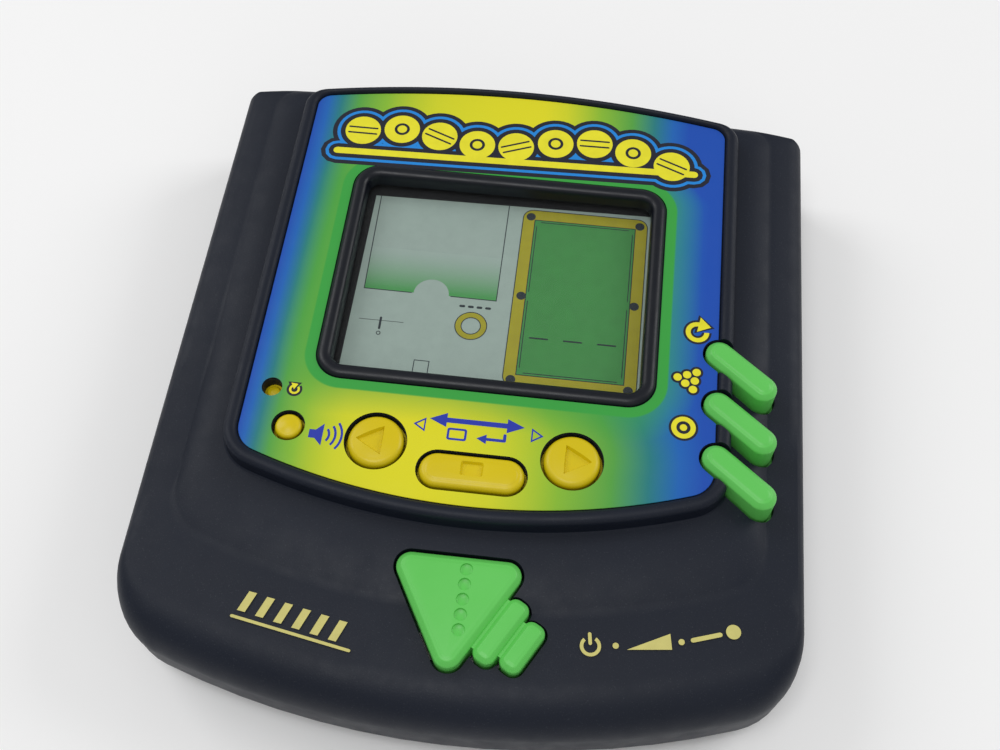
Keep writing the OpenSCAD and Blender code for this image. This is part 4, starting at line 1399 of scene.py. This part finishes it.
@dataclass
class DeckPrint:
    """Pale gold signs on the deck in front of the screen."""

    layout: Layout
    height: float = 20.35

    def build(self) -> None:
        """Prints a row of plain bars on the left, and power and shoot signs on the right."""
        printer = Printer(self.height, 0.02)
        shapes = []
        for i in range(6):
            at = (-33.5 + i * 3.1, -46.9 - i * 0.62)
            bar = place([(-1.0, -1.75), (0.35, -1.75), (1.15, 1.75), (-0.2, 1.75)], at, -9)
            shapes.append(printer.shape(bar))
        shapes.append(printer.line((-35.4, -49.5), (-15.6, -53.0), 0.5))
        lay_ink(shapes, "deck_bars", Finish.INK_GOLD)
        signs = glyph_parts(printer, Glyph.POWER, (22.5, -47.8), 1.7, 8, 0.0, 1)
        signs.append(printer.disc((26.5, -47.3), 0.5))
        signs.append(printer.shape(place([(-3.6, -1.0), (3.6, -1.3), (3.6, 1.3)], (31.7, -46.2), 9)))
        signs.append(printer.disc((36.9, -45.5), 0.5))
        signs.append(printer.line((38.7, -45.0), (43.0, -43.6), 0.75))
        signs.append(printer.disc((45.1, -42.9), 1.2))
        lay_ink(signs, "deck_signs", Finish.INK_GOLD)


@dataclass
class DisplayPrint:
    """Colour artwork of the display."""

    layout: Layout
    rail: float = 2.3
    thin: float = 0.16

    def build(self) -> None:
        """Lays painted shade round the film's open area, then prints the table, the aiming frame and the
        small marks on the film.
        """
        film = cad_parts["lcd_printed_film"]
        dress(film, Finish.FILM.make())
        printer = Printer(high("lcd_printed_film").z, 0.015)
        edge_low, edge_high = low("lcd_printed_film"), high("lcd_printed_film")
        outside = [(edge_low.x, edge_low.y), (edge_high.x, edge_low.y),
                   (edge_high.x, edge_high.y), (edge_low.x, edge_high.y)]
        opening = [(-26.5, -4.0), (27.9, -4.0), (27.9, 37.5), (-26.1, 36.6)]
        # dark band round the film's open area: painted shade where the window's wall shadows the film
        finish_piece(printer.band(outside, opening, 4), "display_painted_shade", Finish.PAINTED_SHADE)
        left, right, bottom, top = 2.9, 27.0, -2.6, 36.6
        centre, size = ((left + right) / 2, (bottom + top) / 2), (right - left, top - bottom)
        thin = self.thin

        def frame_line(inset: float, width: float, corner: float, number: int) -> Mesh:
            """Rectangular line inside the table."""
            outer = rounded(size[0] - 2 * inset, size[1] - 2 * inset, corner, 6)
            deep = 2 * (inset + width)
            inner = rounded(size[0] - deep, size[1] - deep, max(corner - width, 0.05), 6)
            return printer.band(place(outer, centre), place(inner, centre), number)

        finish_piece(frame_line(0, self.rail, 2.0, 1), "table_rails", Finish.RAIL)
        felt = rounded(size[0] - 2 * self.rail, size[1] - 2 * self.rail, 0.05, 2)
        finish_piece(printer.shape(place(felt, centre), 1), "table_felt", Finish.FELT)
        dark = [frame_line(0, thin, 2.0, 2), frame_line(self.rail, thin, 0.1, 2)]
        # pockets, the head string's dashes and the cushion's inner line
        y_mid = (top + bottom) / 2 - 0.4
        pockets = [(x, y) for x in (left + 1.55, right - 1.55) for y in (top - 1.7, y_mid, bottom + 1.3)]
        dark += [printer.disc(at, 0.88, 3) for at in pockets]
        cushion = self.rail + 0.55
        x0, x1, y0, y1 = left + cushion, right - cushion, bottom + cushion, top - cushion
        for x in (x0, x1):
            dark += [printer.line((x, y0 + 1), (x, y_mid - 1), thin, 2),
                     printer.line((x, y_mid + 1), (x, y1 - 1), thin, 2)]
        dark += [printer.line((x0 + 0.8, y), (x1 - 0.8, y), thin, 2) for y in (y0, y1)]
        dark += [printer.line((x - 1.6, 7.7), (x + 1.6, 7.7), 0.3, 3) for x in (8.6, 14.8, 21.0)]
        # aiming frame with its notch
        a, b, c, d = (-25.1, 38.0), (-24.8, 15.0), (0.0, 14.9), (0.0, 38.0)
        notch, notch_r = (-12.2, 15.0), 3.3
        dark += [printer.line(a, b, thin, 2), printer.line(c, d, thin, 2),
                 printer.line(b, (notch[0] - notch_r - 0.4, 14.97), thin, 2),
                 printer.line((notch[0] + notch_r + 0.4, 14.95), c, thin, 2)]
        # cross mark, little ring, little square and the ball ring's edges
        dark += [printer.line((-24.6, 8.3), (-16.4, 8.3), 0.1, 1),
                 printer.line((-20.6, 8.9), (-20.6, 6.6), 0.42, 2),
                 printer.ring((-20.6, 5.6), 0.42, 0.16, 1)]
        square = [(-13.2, -2.4), (-13.2, 0.7), (-10.5, 0.7), (-10.5, -2.4)]
        dark += [printer.line(p, q, thin, 1) for p, q in zip(square, square[1:])]
        ball = (-4.0, 9.0)
        dark += [printer.ring(ball, 3.0, thin, 2), printer.ring(ball, 1.85, thin, 2)]
        dark += [printer.line((ball[0] - 2.4 + i * 1.6, 13.1), (ball[0] - 1.8 + i * 1.6, 13.1), 0.5, 1)
                 for i in range(4)]
        finish_piece(fuse(dark), "display_lines", Finish.SEGMENT)
        finish_piece(printer.ring(ball, 3.0, 1.2, 1), "ball_ring", Finish.RAIL)
        field_line = [b, (notch[0] - notch_r, notch[1])] + arc(notch, notch_r, 180, 0, 24)
        field_line += [c, (0.0, 24.5), (-24.9, 24.5)]
        fade = Fade("fading_green", 15.4, 24.0, tint(66, 146, 76), tint(150, 170, 161)).build()
        finish_piece(printer.shape(field_line, 1), "aiming_field", fade)


# ---------------------------------------------------------------- insides


@dataclass
class Insides:
    """Finishes of the pieces inside the case, which keep their CAD shapes."""

    finishes: dict[str, Finish] = field(default_factory=lambda: {
        "screen_lens": Finish.LENS, "lcd_glass": Finish.GLASS, "lcd_reflector": Finish.REFLECTOR,
        "lcd_holder": Finish.BLACK, "zebra_strip": Finish.ZEBRA, "circuit_board": Finish.BOARD,
        "chip_blob": Finish.RESIN, "crystal": Finish.STEEL, "capacitor": Finish.SLEEVE,
        "chip_resistors": Finish.RESIN, "select_keypad": Finish.KEYPAD, "side_keypad": Finish.KEYPAD,
        "shoot_keypad": Finish.KEYPAD, "carbon_pills": Finish.CARBON, "buzzer_disc": Finish.BRASS,
        "buzzer_ceramic": Finish.CERAMIC, "buzzer_leads": Finish.WIRE_BLACK, "battery_cell_a": Finish.CELL,
        "battery_cell_b": Finish.CELL, "contact_bridge": Finish.STEEL, "contact_positive": Finish.STEEL,
        "contact_negative": Finish.STEEL, "battery_lead_red": Finish.WIRE_RED,
        "battery_lead_black": Finish.WIRE_BLACK, "case_screws": Finish.STEEL, "board_screws": Finish.STEEL})

    def build(self) -> None:
        """Dresses the nodes."""
        for node, finish in self.finishes.items():
            dress(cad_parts[node], finish.make())
            LOG.info("%s: %s", node, finish.value.name)


# ---------------------------------------------------------------- studio


@dataclass
class Studio:
    """Pale floor, soft lights and the camera."""

    eye: tuple[float, float, float] = (14.82, -105.36, 208.20)
    right: tuple[float, float, float] = (0.993295, 0.115609, -0.000615)
    down: tuple[float, float, float] = (0.100427, -0.865466, -0.490798)
    lens: float = 43.24
    floor_size: float = 3.0

    def floor(self) -> None:
        """A plain pale floor."""
        bm = bmesh.new()
        bmesh.ops.create_grid(bm, x_segments=1, y_segments=1, size=self.floor_size)
        bmesh.ops.translate(bm, verts=bm.verts, vec=(0, 0, -0.00005))
        mesh = bpy.data.meshes.new("floor")
        bm.to_mesh(mesh)
        bm.free()
        obj = bpy.data.objects.new("floor", mesh)
        bpy.context.scene.collection.objects.link(obj)
        n = Nodes("floor_paper")
        shade = n.span(n.noise(0.004, 3.0), 0.3, 0.7, 0.97, 1.0)
        colour = n.scaled((0.97, 0.97, 0.97), shade)
        dress(obj, n.dress(Base_Color=colour, Roughness=0.9, Specular_IOR_Level=0.1))

    def light(self, name: str, at: tuple[float, float, float], size: float, power: float) -> None:
        """A square soft light that faces the game.

        Args:
            name: the light's name.
            at: its place, in metres.
            size: length of a side, in metres.
            power: its power, in watts.
        """
        data = bpy.data.lights.new(name, "AREA")
        data.size = size
        data.energy = power
        obj = bpy.data.objects.new(name, data)
        bpy.context.scene.collection.objects.link(obj)
        obj.location = at
        obj.rotation_euler = (Vector(at) * -1).to_track_quat("-Z", "Y").to_euler()

    def build(self) -> None:
        """Sets the floor, the lights, the world and the camera."""
        self.floor()
        self.light("left_back_light", (-0.7, 0.35, 0.68), 0.5, 2.5)
        self.light("right_back_light", (0.8, 0.45, 0.6), 0.5, 2.9)
        self.light("overhead_light", (-0.1, -0.2, 0.95), 0.4, 3.0)
        self.light("front_light", (0.35, -0.8, 0.6), 0.6, 0.4)
        world = bpy.data.worlds.new("studio")
        world.use_nodes = True
        world.node_tree.nodes["Background"].inputs[0].default_value = (1, 1, 1, 1)
        world.node_tree.nodes["Background"].inputs[1].default_value = 0.36
        bpy.context.scene.world = world
        camera = bpy.data.cameras.new("camera")
        camera.lens = self.lens
        camera.sensor_width = 36.0
        camera.clip_start = 0.01
        obj = bpy.data.objects.new("camera", camera)
        bpy.context.scene.collection.objects.link(obj)
        right, down = Vector(self.right).normalized(), Vector(self.down).normalized()
        back = right.cross(-down)
        turn = Matrix((right, -down, back)).transposed().to_4x4()
        obj.matrix_world = Matrix.Translation(Vector(self.eye) * METRES) @ turn
        bpy.context.scene.camera = obj
        bpy.context.scene.view_settings.view_transform = "Standard"


def main() -> None:
    """Builds the game in order and keeps its size."""
    logging.basicConfig(level=logging.INFO, format="%(name)s %(message)s")
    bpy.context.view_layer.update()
    layout = Layout()
    Studio().build()
    keys = Keys(layout)
    Case(layout).build(keys)
    keys.build()
    PlatePrint(layout).build(keys)
    DeckPrint(layout).build()
    DisplayPrint(layout).build()
    Insides().build()


if __name__ == "__main__":
    main()
